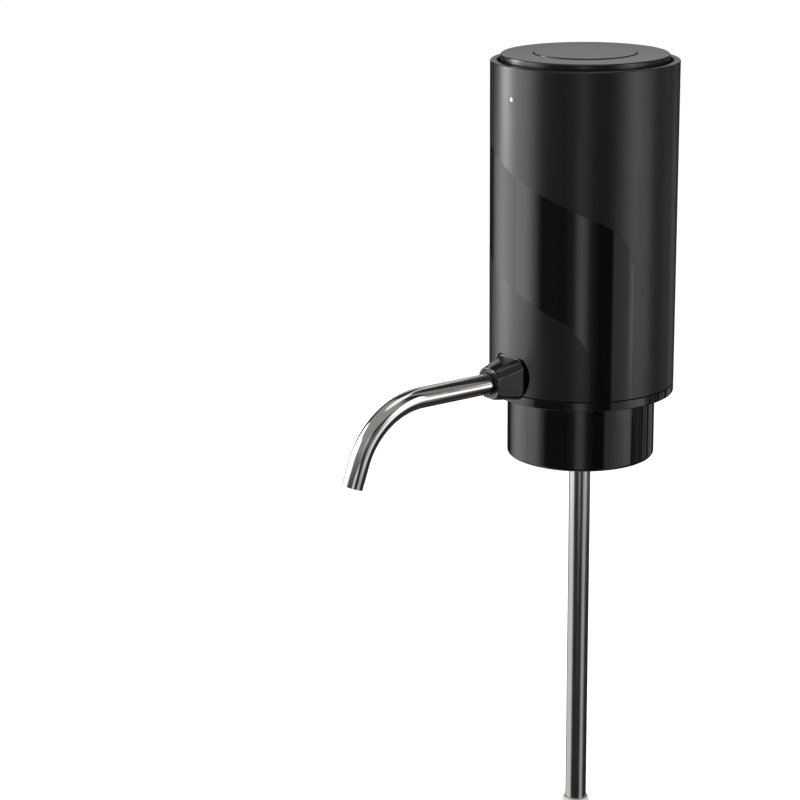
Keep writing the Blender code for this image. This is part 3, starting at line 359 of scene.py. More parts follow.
# roughness that changes with one noise, and a fine relief that follows another
def wearAndRelief(tree, shader, look, wear, relief):
    smoothest, roughest = look.get("range") or (look["roughness"] - look["spread"],
                                                look["roughness"] + look["spread"])
    rough = addNode(tree, "ShaderNodeMapRange", None,
                    {**noiseSpan, "Value": wear.outputs["Fac"], "To Min": smoothest, "To Max": roughest})
    tree.links.new(rough.outputs["Result"], shader.inputs["Roughness"])
    bump = addNode(tree, "ShaderNodeBump", None,
                   {"Height": relief.outputs["Fac"], "Strength": look["strength"],
                    "Distance": look["depth"] * mm})
    tree.links.new(bump.outputs["Normal"], shader.inputs["Normal"])


# moulded plastic: spark-eroded grain from the tool, and patches where the tool is more worn
def mouldedPlastic(name, look):
    finish, tree, shader = startFinish(name, look)
    place = addNode(tree, "ShaderNodeTexCoord")
    grain = addNode(tree, "ShaderNodeTexNoise", None,
                    {"Vector": place.outputs["Object"], "Scale": perMetre(look["grain"]), "Detail": 3.0})
    worn = addNode(tree, "ShaderNodeTexNoise", None,
                   {"Vector": place.outputs["Object"], "Scale": perMetre(look["patch"]), "Detail": 2.0})
    wearAndRelief(tree, shader, look, worn, grain)
    return finish


# drawn, ground or polished metal: fine lines along or round the part, which change its gloss a little;
# the relief follows the same lines, or a slow wobble where the tube was bent
def linedMetal(name, look):
    finish, tree, shader = startFinish(name, look)
    place = addNode(tree, "ShaderNodeTexCoord")
    stretch = addNode(tree, "ShaderNodeMapping", None,
                      {"Vector": place.outputs["Object"], "Scale": look["stretch"]})
    lines = addNode(tree, "ShaderNodeTexNoise", None,
                    {"Vector": stretch.outputs["Vector"], "Scale": perMetre(look["line"]), "Detail": 4.0})
    relief = lines
    if "wobble" in look:
        relief = addNode(tree, "ShaderNodeTexNoise", None,
                         {"Vector": place.outputs["Object"], "Scale": perMetre(look["wobble"]),
                          "Detail": 1.0})
    wearAndRelief(tree, shader, look, lines, relief)
    return finish


# camera and studio

view = {"lens": 110.39, "sensor": 36.0, "place": (588.2, -505.0, 217.8), "turns": (74.25, 53.73, -0.44),
        "clip": (0.01, 50)}
cameraData = bpy.data.cameras.new("studioCamera")
cameraData.lens = view["lens"]
cameraData.sensor_width = view["sensor"]
cameraData.clip_start, cameraData.clip_end = view["clip"]
camera = addObject("studioCamera", cameraData)
tilt, heading, roll = (math.radians(a) for a in view["turns"])
camera.matrix_world = (
    Matrix.Translation(Vector(view["place"]) * mm)
    @ Matrix.Rotation(heading, 4, "Z") @ Matrix.Rotation(tilt, 4, "X") @ Matrix.Rotation(roll, 4, "Z")
)
bpy.context.scene.camera = camera
bpy.context.scene.view_settings.view_transform = "Standard"

studio = {
    "facing": 49.35,  # the model azimuth that faces the camera, in degrees from the spout's side
    "floorSize": 14000.0, "floorColour": "e8e8e8", "floorGlow": 0.6,
    "worldSeen": 1.0, "worldLight": 0.5,
    # lamps for the matt light: azimuth from the camera's line, elevation, distance, width, height, watts
    "lamps": {
        "sideLamp": (-108, 22, 1300.0, 500.0, 700.0, 7.0),
        "fillLamp": (70, 25, 1300.0, 500.0, 500.0, 4.0),
        "topLamp": (-20, 78, 1500.0, 900.0, 900.0, 7.0),
    },
}


# 1 for a ray from the camera, off gloss or through a clear piece, 0 for one that carries scattered light
def seenDirectly(tree):
    rays = addNode(tree, "ShaderNodeLightPath")
    seen = rays.outputs["Is Camera Ray"]
    for kind in ("Is Glossy Ray", "Is Transmission Ray"):
        seen = addNode(tree, "ShaderNodeMath", {"operation": "MAXIMUM"},
                       {0: seen, 1: rays.outputs[kind]}).outputs[0]
    return seen


half, floorZ = studio["floorSize"] / 2 * mm, cadBox[0][2]
floorMesh = bpy.data.meshes.new("studioFloor")
floorMesh.from_pydata([(x * half, y * half, floorZ) for x, y in ((-1, -1), (1, -1), (1, 1), (-1, 1))],
                      [], [(0, 1, 2, 3)])
studioFloor = addObject("studioFloor", floorMesh)

# matt paper sheet, white to the camera and to gloss, with the shadow kept
paper = bpy.data.materials.new("matt white paper")
paper.use_nodes = True
paperTree = paper.node_tree
paperTree.nodes.clear()
strength = addNode(paperTree, "ShaderNodeMath", {"operation": "MULTIPLY"},
                   {0: seenDirectly(paperTree), 1: studio["floorGlow"]})
glow = addNode(paperTree, "ShaderNodeEmission", None, {"Strength": strength.outputs[0]})
sheet = addNode(paperTree, "ShaderNodeBsdfDiffuse", None, {"Color": linearOf(studio["floorColour"])})
litSheet = addNode(paperTree, "ShaderNodeAddShader", None, {0: glow.outputs[0], 1: sheet.outputs[0]})
addNode(paperTree, "ShaderNodeOutputMaterial", None, {"Surface": litSheet.outputs[0]})
floorMesh.materials.append(paper)

world = bpy.data.worlds.new("studioRoom")
world.use_nodes = True
bpy.context.scene.world = world
roomTree = world.node_tree
background = roomTree.nodes["Background"]
background.inputs["Color"].default_value = (1, 1, 1, 1)
strength = addNode(roomTree, "ShaderNodeMapRange", None,
                   {"Value": seenDirectly(roomTree), "To Min": studio["worldLight"],
                    "To Max": studio["worldSeen"]})
roomTree.links.new(strength.outputs["Result"], background.inputs["Strength"])

# the tent that gloss reflects, lit in panels; a panel is its from and to azimuth in degrees from the camera's
# line, how softly it starts and ends, and its glow
frontPanels = [(-66, -20, 8, 10, 0.05), (-28, 22, 22, 16, 0.2), (-12, 11, 10, 11, 0.85)]
rearPanels = [(93, 105, 2, 2, 0.22), (106, 109, 1, 1, 0.32), (112, 118, 2, 2, 0.5), (119, 126, 1, 2, 0.38),
              (130, 153, 2, 8, 0.32), (-200, -165, 8, 8, 0.7), (165, 200, 8, 8, 0.7)]
sidePanels = [(-119, -93, 8, 14, 16.5), (-112, -50, 14, 24, 3.4)]
tent = {
    "columns": 720, "dark": 0.03,
    "coolTint": (0.92, 0.965, 1.0), "coolRows": ("high", "upper"), "coolSpan": (-150, -95),
    # rows from the bottom up: radius and height in millimetres, the panels that light it, and their gain
    "rows": [(40.0, -266.0, "skirt", 1.0), (580.0, -235.0, "skirt", 1.0), (600.0, -215.0, "low", 0.72),
             (600.0, -172.0, "low", 0.76), (600.0, -118.0, "middle", 1.0), (600.0, 10.0, "middle", 1.0),
             (600.0, 60.0, "high", 0.52), (600.0, 150.0, "high", 1.0), (600.0, 195.0, "high", 1.0),
             (600.0, 245.0, "upper", 1.0), (600.0, 330.0, "upper", 0.9), (600.0, 420.0, "dome", 1.0),
             (300.0, 900.0, "dome", 1.0), (240.0, 900.0, "roof", 1.0), (1.0, 900.0, "roof", 1.0)],
    "skirt": [(-150, -50, 20, 20, 0.9), (34, 84, 10, 20, 0.5)],
    "low": [(-148, -88.2, 42, 4, 2.3), (-91.8, -52, 4, 26, 2.2), *frontPanels,
            (34.5, 87, 5, 4, 0.55), (42, 86, 28, 3, 0.7), (68, 84, 5, 5, 0.3), (74, 76, 1, 1, -0.4),
            (80, 82, 1, 1, -0.4), (89, 92, 1, 1, 0.35), *rearPanels],
    "middle": [(-148, -88.2, 44, 4, 2.5), (-91.8, -48, 4, 28, 2.7), *frontPanels,
               (34.5, 92, 5, 4, 0.5), (42, 62, 28, 6, 0.4), (56, 96, 8, 14, 1.3), *rearPanels],
    "high": [*sidePanels, (-110, -48, 20, 20, 0.34), (-68, 14, 20, 8, 0.22), (-14, 14, 12, 12, 0.22),
             (10, 42, 8, 10, 0.15), (38, 74, 22, 8, 3.6), (70, 130, 8, 20, 0.3), (73, 84, 3, 4, 1.0),
             (-200, -150, 10, 12, 0.15), (150, 200, 12, 10, 0.15)],
    "upper": [*sidePanels, (-110, 14, 20, 8, 0.34), (-14, 14, 12, 12, 0.3), (40, 74, 26, 6, 2.6),
              (70, 130, 8, 20, 0.25), (-200, -150, 10, 12, 0.95), (150, 200, 12, 10, 0.95)],
    "dome": [(-152, 66, 14, 26, 0.36), (76, 124, 6, 28, 0.28), (146, 190, 2, 8, 0.8)],
    "roof": [(-200, 200, 1, 1, 1.4)],
}


# a unit vector that points from the object to a reflected azimuth and elevation
def studioDirection(azimuth, elevation):
    turn = math.radians(studio["facing"] + azimuth)
    rise = math.radians(elevation)
    return Vector((math.sin(turn) * math.cos(rise), -math.cos(turn) * math.cos(rise), math.sin(rise)))


# how bright a row of panels is at one azimuth; each panel's ends rise and fall in a smooth curve
def panelGlow(panels, azimuth):
    total = tent["dark"]
    for start, end, softStart, softEnd, amount in panels:
        share = min((azimuth - start) / softStart, (end - azimuth) / softEnd, 1)
        if share > 0:
            total += amount * share * share * (3 - 2 * share)
    return max(total, 0)


coolFrom, coolTo = tent["coolSpan"]
tentVertices, tentFaces, tentValues = [], [], []
for row, (radius, height, panels, gain) in enumerate(tent["rows"]):
    for j in range(tent["columns"]):
        azimuth = -180 + 360 * j / tent["columns"]
        spot = studioDirection(azimuth, 0) * radius * mm
        tentVertices.append((spot.x, spot.y, height * mm))
        amount = panelGlow(tent[panels], azimuth) * gain
        cool = panels in tent["coolRows"] and coolFrom < azimuth < coolTo
        tentValues += [amount * channel for channel in (tent["coolTint"] if cool else (1, 1, 1))] + [1.0]
        if row:
            here, after = row * tent["columns"] + j, row * tent["columns"] + (j + 1) % tent["columns"]
            tentFaces.append((here - tent["columns"], after - tent["columns"], after, here))
tentMesh = bpy.data.meshes.new("studioTent")
tentMesh.from_pydata(tentVertices, [], tentFaces)
tentMesh.attributes.new("panelGlow", "FLOAT_COLOR", "POINT").data.foreach_set("color", tentValues)
studioTent = addObject("studioTent", tentMesh)
# softbox cloth, lit from behind, and black flags between
softbox = bpy.data.materials.new("softbox cloth and black flags")
softbox.use_nodes = True
softboxTree = softbox.node_tree
softboxTree.nodes.clear()
amount = addNode(softboxTree, "ShaderNodeAttribute", {"attribute_name": "panelGlow"})
glow = addNode(softboxTree, "ShaderNodeEmission", None, {"Color": amount.outputs["Color"]})
addNode(softboxTree, "ShaderNodeOutputMaterial", None, {"Surface": glow.outputs[0]})
tentMesh.materials.append(softbox)
for kind in ("camera", "diffuse", "transmission", "volume_scatter", "shadow"):
    setattr(studioTent, "visible_" + kind, False)

for name, (azimuth, elevation, distance, width, height, watts) in studio["lamps"].items():
    lampData = bpy.data.lights.new(name, "AREA")
    lampData.shape = "RECTANGLE"
    lampData.size, lampData.size_y = width * mm, height * mm
    lampData.energy = watts
    lamp = addObject(name, lampData)
    direction = studioDirection(azimuth, elevation)
    lamp.location = direction * distance * mm
    lamp.rotation_euler = direction.to_track_quat("Z", "Y").to_euler()
    lamp.visible_camera = False
    lamp.visible_glossy = False
print("studio ready")


# outer shell: satin ABS with a polished band that winds up it

bodyColumns = 240  # facets round each turned piece of the body
toSpout = Matrix.Rotation(math.pi / 2, 4, "X")  # a tool made along +Z then points to -Y
toRear = Matrix.Rotation(-math.pi / 2, 4, "X")
shell = {
    "radius": 30.0, "inner": 27.9, "low": 6.95, "high": 111.0, "edge": 0.4, "lowEdge": 0.12, "innerEdge": 0.2,
    "row": 2.0,  # faces no taller than this, so that the band's edge is smooth
    "bossHole": 8.5, "bossHoleZ": 13.05, "bossHoleTop": 19.2,
    "bossHoleSteps": 120, "bossHoleSquareness": 14, "leastRise": 1e-3,
    "lensHole": 1.05, "lensHoleColumns": 32, "portZ": 101.0,
    "portSlot": (9.54, 3.86, 1.7),  # width, height and corner radius
    "toolIn": 4, "toolOut": 2, "bossToolIn": 8,  # how far cutters start inside the wall and end outside it
    # the band: its upper and lower edges on the unrolled wall, and the ends that run straight
    "arcToCamera": 25.84, "upper": (66.5, -0.45), "lower": (29.5, -0.48), "corner": 10.0,
    "frontEnds": (17.0, 3.0), "backEnds": (-60.0, -74.0),
    "look": {"colour": "121213", "bandColour": "08080a", "roughness": 0.36, "spread": 0.02, "gloss": 0.05,
             "brushed": 0.75, "ior": 1.53, "sockets": {"Anisotropic Rotation": 0.25}, "grain": 0.35,
             "depth": 0.006, "strength": 0.25, "patch": 18.0, "peel": 7.0, "peelDepth": 0.004, "step": 0.02,
             "bandStrength": 0.5, "edgeBlur": 0.06},
}


# how far each vertex lies outside the band's edge, in millimetres, with the band's corners rounded
def bandDistances(mesh):
    places = np.zeros(len(mesh.vertices) * 3, np.float32)
    mesh.vertices.foreach_get("co", places)
    x, y, z = places.reshape(-1, 3).T.astype(float) / mm
    arc = shell["radius"] * np.arctan2(x, -y) - shell["arcToCamera"]
    corner = shell["corner"]

    def both(a, b):
        inside = np.minimum(np.maximum(a + corner, b + corner), 0)
        return inside + np.hypot(np.maximum(a + corner, 0), np.maximum(b + corner, 0)) - corner

    def either(a, b):
        return -both(-a, -b)

    (upperZ, upperSlope), (lowerZ, lowerSlope) = shell["upper"], shell["lower"]
    above = (z - upperZ - upperSlope * arc) / math.hypot(1, upperSlope)
    below = (lowerZ + lowerSlope * arc - z) / math.hypot(1, lowerSlope)
    frontEnd, frontStart = shell["frontEnds"]
    backEnd, backStart = shell["backEnds"]
    top = either(both(above, arc - frontEnd), arc - backEnd)
    bottom = either(both(below, backStart - arc), frontStart - arc)
    return np.maximum(top, bottom)


# satin ABS, moulded in a tool with a spark-eroded face and a polished insert: dull black against piano black
def shellFinish():
    look = shell["look"]
    finish, tree, shader = startFinish("satin and gloss moulded ABS", look)
    place = addNode(tree, "ShaderNodeTexCoord")
    edge = addNode(tree, "ShaderNodeAttribute", {"attribute_name": "bandDistance"})
    polished = addNode(tree, "ShaderNodeMapRange", {"interpolation_type": "SMOOTHSTEP"},
                       {"Value": edge.outputs["Fac"], "From Min": look["edgeBlur"],
                        "From Max": -look["edgeBlur"]})
    grain = addNode(tree, "ShaderNodeTexNoise", None,
                    {"Vector": place.outputs["Object"], "Scale": perMetre(look["grain"]), "Detail": 3.0})
    worn = addNode(tree, "ShaderNodeTexNoise", None,
                   {"Vector": place.outputs["Object"], "Scale": perMetre(look["patch"]), "Detail": 2.0})
    dull = addNode(tree, "ShaderNodeMapRange", None,
                   {**noiseSpan, "Value": worn.outputs["Fac"], "To Min": look["roughness"] - look["spread"],
                    "To Max": look["roughness"] + look["spread"]})
    rough = addNode(tree, "ShaderNodeMapRange", None,
                    {"Value": polished.outputs["Result"], "To Min": dull.outputs["Result"],
                     "To Max": look["gloss"]})
    tree.links.new(rough.outputs["Result"], shader.inputs["Roughness"])
    brushed = addNode(tree, "ShaderNodeMapRange", None,
                      {"Value": polished.outputs["Result"], "To Min": look["brushed"], "To Max": 0.0})
    tree.links.new(brushed.outputs["Result"], shader.inputs["Anisotropic"])
    tangent = addNode(tree, "ShaderNodeTangent", {"direction_type": "RADIAL", "axis": "Z"})
    tree.links.new(tangent.outputs["Tangent"], shader.inputs["Tangent"])
    colour = addNode(tree, "ShaderNodeMix", {"data_type": "RGBA"},
                     {"Factor": polished.outputs["Result"], "A": linearOf(look["colour"]),
                      "B": linearOf(look["bandColour"])})
    tree.links.new(colour.outputs["Result"], shader.inputs["Base Color"])
    # the grain is only on the satin, a soft orange peel is on both, and the band lies a step lower
    peel = addNode(tree, "ShaderNodeTexNoise", None,
                   {"Vector": place.outputs["Object"], "Scale": perMetre(look["peel"]), "Detail": 1.0})
    matt = addNode(tree, "ShaderNodeMath", {"operation": "SUBTRACT"}, {0: 1.0, 1: polished.outputs["Result"]})
    grainOnly = addNode(tree, "ShaderNodeMath", {"operation": "MULTIPLY"},
                        {0: grain.outputs["Fac"], 1: matt.outputs[0]})
    grainBump = addNode(tree, "ShaderNodeBump", None,
                        {"Height": grainOnly.outputs[0], "Strength": look["strength"],
                         "Distance": look["depth"] * mm})
    peelBump = addNode(tree, "ShaderNodeBump", None,
                       {"Height": peel.outputs["Fac"], "Strength": look["bandStrength"],
                        "Distance": look["peelDepth"] * mm, "Normal": grainBump.outputs["Normal"]})
    stepBump = addNode(tree, "ShaderNodeBump", None,
                       {"Height": matt.outputs[0], "Strength": look["bandStrength"],
                        "Distance": look["step"] * mm, "Normal": peelBump.outputs["Normal"]})
    tree.links.new(stepBump.outputs["Normal"], shader.inputs["Normal"])
    return finish


# the boss's opening: a circle that is cut straight at the top, with soft corners
holeOutline = []
power = shell["bossHoleSquareness"]
for k in range(shell["bossHoleSteps"]):
    angle = math.tau * k / shell["bossHoleSteps"]
    rise = max(math.sin(angle), shell["leastRise"]) / (shell["bossHoleTop"] - shell["bossHoleZ"])
    reach = ((1 / shell["bossHole"]) ** power + rise ** power) ** (-1 / power)
    holeOutline.append((reach * math.cos(angle), reach * math.sin(angle)))
toolStart, toolEnd = shell["inner"] - shell["toolIn"], shell["radius"] + shell["toolOut"]
holeRings = [[(x, y, h) for x, y in holeOutline] for h in (toolStart - shell["bossToolIn"], toolEnd)]
slotRings = [[(x, y, h) for x, y in roundedOutline(*shell["portSlot"])] for h in (toolStart, toolEnd)]
outerShell = turnedPiece(
    "outerShell", "outer_shell", "aerator", "satin_black_abs", shellFinish(),
    [(shell["inner"], shell["low"]), (shell["radius"], shell["low"], shell["lowEdge"]),
     (shell["radius"], shell["high"], shell["edge"]), (shell["inner"], shell["high"], shell["innerEdge"])],
    bodyColumns, rowHeight=shell["row"],
    cuts=[solid("bossHole", skinnedMesh("bossHole", holeRings), toSpout, (0, 0, shell["bossHoleZ"])),
          cylinder("lensHole", shell["lensHole"], toolStart, toolEnd, shell["lensHoleColumns"],
                   (0, 0, shell["portZ"]), toSpout),
          solid("portSlot", skinnedMesh("portSlot", slotRings), toRear, (0, 0, shell["portZ"]))])
outerShell.data.attributes.new("bandDistance", "FLOAT", "POINT").data.foreach_set(
    "value", bandDistances(outerShell.data).astype(np.float32))
print("shell ready")


# base housing and neck collar: polished ABS

gloss = {"colour": "08080a", "roughness": 0.05, "ior": 1.53, "grain": 7.0, "depth": 0.004, "strength": 0.5,
         "patch": 12.0, "spread": 0.012}
# gloss ABS, moulded in a polished tool: mirror black with a faint orange peel
glossAbs = mouldedPlastic("gloss moulded ABS", gloss)

base = {
    "radius": 30.0, "low": 3.8, "top": 6.65, "edge": 0.3, "topEdge": 0.12, "bore": 7.7,
    "spigot": 27.6, "spigotWall": 1.6, "spigotHeight": 5.0, "spigotEdge": 0.3,
    "notch": 6.4, "notchIn": 25.5, "notchOut": 32, "notchTop": 20,
    # screws: the legs' and the deck's by ring radius, count and first azimuth, the boss's ears' by place
    "legScrews": (18.3, 3, 90), "deckScrews": (11.0, 4, 45), "earScrews": ((-8.2, -21.1), (8.2, -21.1)),
    "legHole": 1.4, "deckHole": 1.0, "holeTop": 10,
}
spigotTop, spigotInner = base["top"] + base["spigotHeight"], base["spigot"] - base["spigotWall"]
legSpots = around(*base["legScrews"])
deckSpots = list(base["earScrews"]) + around(*base["deckScrews"])[:2]  # only these two go through the deck
turnedPiece(
    "baseHousing", "base_housing", "aerator", "gloss_black_abs", glossAbs,
    [(base["bore"], base["low"]), (base["radius"], base["low"], base["edge"]),
     (base["radius"], base["top"], base["topEdge"]), (base["spigot"], base["top"]),
     (base["spigot"], spigotTop, base["spigotEdge"]), (spigotInner, spigotTop), (spigotInner, base["top"]),
     (base["bore"], base["top"])],
    bodyColumns,
    cuts=[*screwHoles("legHole", base["legHole"], legSpots, base["holeTop"]),
          *screwHoles("deckHole", base["deckHole"], deckSpots, base["holeTop"]),
          block("notch", (-base["notch"], -base["notchOut"], base["top"]),
                (base["notch"], -base["notchIn"], base["notchTop"]))])

collar = {"radius": 24.0, "inner": 22.0, "foot": -18.0, "flangeLow": 1.5, "flangeTop": 3.5, "bore": 7.7,
          "footEdge": 1.0, "footInnerEdge": 0.3, "topEdge": 0.4, "innerEdge": 0.5}
turnedPiece(
    "neckCollar", "neck_collar", "aerator", "gloss_black_abs", glossAbs,
    [(collar["inner"], collar["foot"], collar["footInnerEdge"]),
     (collar["radius"], collar["foot"], collar["footEdge"]),
     (collar["radius"], collar["flangeTop"], collar["topEdge"]), (collar["bore"], collar["flangeTop"]),
     (collar["bore"], collar["flangeLow"]), (collar["inner"], collar["flangeLow"], collar["innerEdge"])],
    bodyColumns, cuts=screwHoles("legHole", base["legHole"], legSpots, base["holeTop"]))
print("base and collar ready")


# neck stopper: ribbed silicone plug

silicone = {"colour": "1c1c1d", "roughness": 0.62, "ior": 1.41, "grain": 0.5, "depth": 0.01, "strength": 0.5,
            "patch": 6.0, "spread": 0.06}
# black silicone, compression moulded: dull and a little dusty, with a soft edge to every highlight
blackSilicone = mouldedPlastic("moulded black silicone", silicone)
stopper = {"bore": 7.7, "shoulder": 15.0, "shoulderTop": 1.2, "radius": 9.2, "end": -19.0, "taper": 0.8,
           "taperLength": 2.6, "edge": 0.3, "ribs": (-15.0, -10.0, -5.0), "ribReach": 0.9, "ribWidth": 2.4,
           "ribEdge": 0.4, "columns": 96, "arcSteps": 4}
corners = [(stopper["bore"], stopper["end"]),
           (stopper["radius"] - stopper["taper"], stopper["end"], stopper["edge"]),
           (stopper["radius"], stopper["end"] + stopper["taperLength"])]
for ribZ in stopper["ribs"]:
    corners += [(stopper["radius"], ribZ - stopper["ribWidth"] / 2, stopper["edge"]),
                (stopper["radius"] + stopper["ribReach"], ribZ, stopper["ribEdge"]),
                (stopper["radius"], ribZ + stopper["ribWidth"] / 2, stopper["edge"])]
corners += [(stopper["radius"], 0, stopper["edge"]), (stopper["shoulder"], 0, stopper["edge"]),
            (stopper["shoulder"], stopper["shoulderTop"], stopper["edge"]),
            (stopper["bore"], stopper["shoulderTop"])]
turnedPiece("neckStopper", "neck_stopper", "aerator", "black_silicone", blackSilicone, corners,
            stopper["columns"], stopper["arcSteps"])
print("stopper ready")


# top cap and power button

cap = {"top": 113.3, "step": 0.3, "fall": 0.05, "radius": 26.7, "edge": 0.5, "well": 16.5, "wellDepth": 3.6,
       "wellEdge": 0.2, "floor": 1.4, "neck": 4.5, "skirt": 27.6, "skirtWall": 1.5, "skirtHeight": 5.0,
       "skirtEdge": 0.3, "stemHole": 2.3,
       "look": {"colour": "18181a", "roughness": 0.22, "ior": 1.53, "grain": 0.3, "depth": 0.005,
                "strength": 0.25, "patch": 16.0, "spread": 0.02}}
# cap ABS, moulded and lightly textured: its flat top picks up the room as an even grey
capAbs = mouldedPlastic("textured cap ABS", cap["look"])
neckZ = cap["top"] - cap["neck"]
skirtZ = neckZ - cap["skirtHeight"]
wellZ = cap["top"] - cap["wellDepth"]
turnedPiece(
    "topCap", "top_cap", "aerator", "cap_abs", capAbs,
    [(cap["stemHole"], wellZ - cap["floor"]), (cap["skirt"] - cap["skirtWall"], wellZ - cap["floor"]),
     (cap["skirt"] - cap["skirtWall"], skirtZ), (cap["skirt"], skirtZ, cap["skirtEdge"]),
     (cap["skirt"], neckZ), (cap["radius"], neckZ),
     (cap["radius"], cap["top"] - cap["step"] - cap["fall"], cap["edge"]),
     (cap["well"], cap["top"] - cap["step"], cap["wellEdge"]), (cap["well"], wellZ),
     (cap["stemHole"], wellZ)],
    bodyColumns)

button = {"top": 113.3, "radius": 16.2, "edge": 0.35, "rim": 2.8, "rimWall": 1.2, "plate": 1.6,
          "stem": 2.0, "stemEdge": 0.2, "bead": 0.6, "beadTop": 108.0, "beadHeight": 1.2}
buttonLow = heightsOf("power_button")[0]
turnedPiece(
    "powerButton", "power_button", "button", "cap_abs", capAbs,
    [(0, buttonLow), (button["stem"], buttonLow, button["stemEdge"]),
     (button["stem"], button["beadTop"] - button["beadHeight"]),
     (button["stem"] + button["bead"], button["beadTop"]), (button["stem"], button["beadTop"]),
     (button["stem"], button["top"] - button["plate"]),
     (button["radius"] - button["rimWall"], button["top"] - button["plate"]),
     (button["radius"] - button["rimWall"], button["top"] - button["rim"]),
     (button["radius"], button["top"] - button["rim"]), (button["radius"], button["top"], button["edge"]),
     (0, button["top"])],
    bodyColumns)
print("cap and button ready")


# charge light's lens

lens = {"radius": 1.0, "edge": 0.3, "flange": 1.7, "flangeDepth": 0.8, "columns": 48, "sharpDegrees": 35,
        "glow": 1.0, "rimGlow": 0.07, "core": 0.05, "beam": 1.02,
        "look": {"colour": "9aa2a8", "roughness": 0.12, "ior": 1.49,
                 "sockets": {"Transmission Weight": 0.3, "Emission Color": linearOf("f4f8ff")}}}
lensLow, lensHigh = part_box("status_lens")
lensFront, lensBack = -lensLow[1] / mm, -lensHigh[1] / mm
lensProfile = filletedProfile([
    (0, lensBack), (lens["flange"], lensBack), (lens["flange"], lensBack + lens["flangeDepth"]),
    (lens["radius"], lensBack + lens["flangeDepth"]), (lens["radius"], lensFront, lens["edge"]),
    (0, lensFront),
])
statusLens = solid("statusLens", turnedMesh("statusLens", lensProfile, lens["columns"]), toSpout,
                   (0, 0, shell["portZ"]))
shadeSmooth(statusLens.data, lens["sharpDegrees"])


# cast acrylic, polished, lit from behind: a cool white dot with a brighter middle
def lensFinish():
    finish, tree, shader = startFinish("lit light pipe acrylic", lens["look"])
    place = addNode(tree, "ShaderNodeTexCoord")
    centred = addNode(tree, "ShaderNodeMapping", None,
                      {"Vector": place.outputs["Object"], "Location": (0, 0, -shell["portZ"] * mm)})
    across = addNode(tree, "ShaderNodeVectorMath", {"operation": "MULTIPLY"},
                     {0: centred.outputs["Vector"], 1: (1 / mm, 0.0, 1 / mm)})
    away = addNode(tree, "ShaderNodeVectorMath", {"operation": "LENGTH"}, {0: across.outputs["Vector"]})
    beam = addNode(tree, "ShaderNodeMapRange", {"interpolation_type": "SMOOTHSTEP"},
                   {"Value": away.outputs["Value"], "From Min": lens["core"], "From Max": lens["beam"],
                    "To Min": lens["glow"], "To Max": lens["rimGlow"]})
    tree.links.new(beam.outputs["Result"], shader.inputs["Emission Strength"])
    return finish


fit(statusLens, "aerator", ["status_lens"], lensFinish())
print("lens ready")


# spout boss: a rounded square that lofts to a round nose

boss = {
    "side": 12.2, "corner": 3.0, "back": 19.0, "innerFront": 29.8, "centreZ": 13.05, "axisZ": 11.4,
    # the outer form: a rounded square against the shell that lofts to a round nose
    "face": 13.2, "faceCorner": 3.3, "faceZ": 12.0, "faceBack": (30.1, 29.5), "front": 38.5,
    "frontRadius": 5.5, "lip": 0.25, "lipGap": 0.05, "innerLip": 0.1, "innerLipShares": (0.7, 0.3),
    "backEdge": 0.35, "quarterSteps": 16, "backSteps": 4, "loftSteps": 20, "lipSteps": 8, "sharpDegrees": 34,
    "ear": (4.2, 4.2, 2.05), "earHoleTop": 12,
    # the bores from the front: for the sleeve, the tube, the liquid and the manifold's branch
    "sleeveBore": 4.3, "sleeveSeat": 33.4, "bore": 3.6, "boreStart": 26.9, "liquidBore": 2.0,
    "branchBore": 3.7, "branchReach": 25.3, "columns": 96,
    "look": {"colour": "161617", "roughness": 0.09, "ior": 1.53, "grain": 5.0, "depth": 0.004,
             "strength": 0.5, "patch": 6.0, "spread": 0.02},
}
bossRise = boss["centreZ"] - boss["axisZ"]
prism = [[(x, y + bossRise, h) for x, y in roundedOutline(boss["side"], boss["side"], boss["corner"],
                                                          boss["quarterSteps"])]
         for h in (boss["back"], boss["innerFront"])]
spoutBoss = solid("spoutBoss", skinnedMesh("spoutBoss", prism), toSpout, (0, 0, boss["axisZ"]))
faceRise = boss["faceZ"] - boss["axisZ"]
face = roundedOutline(boss["face"], boss["face"], boss["faceCorner"], boss["quarterSteps"])
noseStart = boss["front"] - boss["lip"] - boss["lipGap"]


# one ring of the outer form: share 0 is the rounded square against the shell, share 1 the round nose
def bossRing(share, radius, reach=None):
    ring = []
    for x, y in face:
        angle = math.atan2(y, x)
        farBack = max(boss["faceBack"][1], math.sqrt(boss["faceBack"][0] ** 2 - x * x))
        ring.append((x + (radius * math.cos(angle) - x) * share,
                     (y + faceRise) * (1 - share) + radius * math.sin(angle) * share,
                     farBack + (noseStart - farBack) * share if reach is None else reach))
    return ring


# from the back: the rounded rear edge, the loft, and the rounded lip of the nose
bossRings = []
rearRing = bossRing(0, boss["frontRadius"])
for k in range(boss["backSteps"] + 1):
    angle = math.pi / 2 * k / boss["backSteps"]
    shrink = 1 - boss["backEdge"] * (1 - math.sin(angle)) / (boss["face"] / 2)
    bossRings.append([(x * shrink, (y - faceRise) * shrink + faceRise, h - boss["backEdge"] * math.cos(angle))
                      for x, y, h in rearRing])
for k in range(1, boss["loftSteps"] + 1):
    bossRings.append(bossRing(k / boss["loftSteps"], boss["frontRadius"]))
for k in range(boss["lipSteps"] + 1):
    angle = math.pi / 2 * k / boss["lipSteps"]
    bossRings.append(bossRing(1, boss["frontRadius"] - boss["lip"] * (1 - math.cos(angle)),
                              boss["front"] - boss["lip"] * (1 - math.sin(angle))))
outerForm = solid("outerForm", skinnedMesh("outerForm", bossRings), toSpout, (0, 0, boss["axisZ"]))
earReach, earDepth, earHeight = boss["ear"]
earSide = boss["side"] / 2 + earReach
ears = block("ears", (-earSide, -boss["back"] - earDepth, shell["low"]),
             (earSide, -boss["back"], shell["low"] + earHeight))
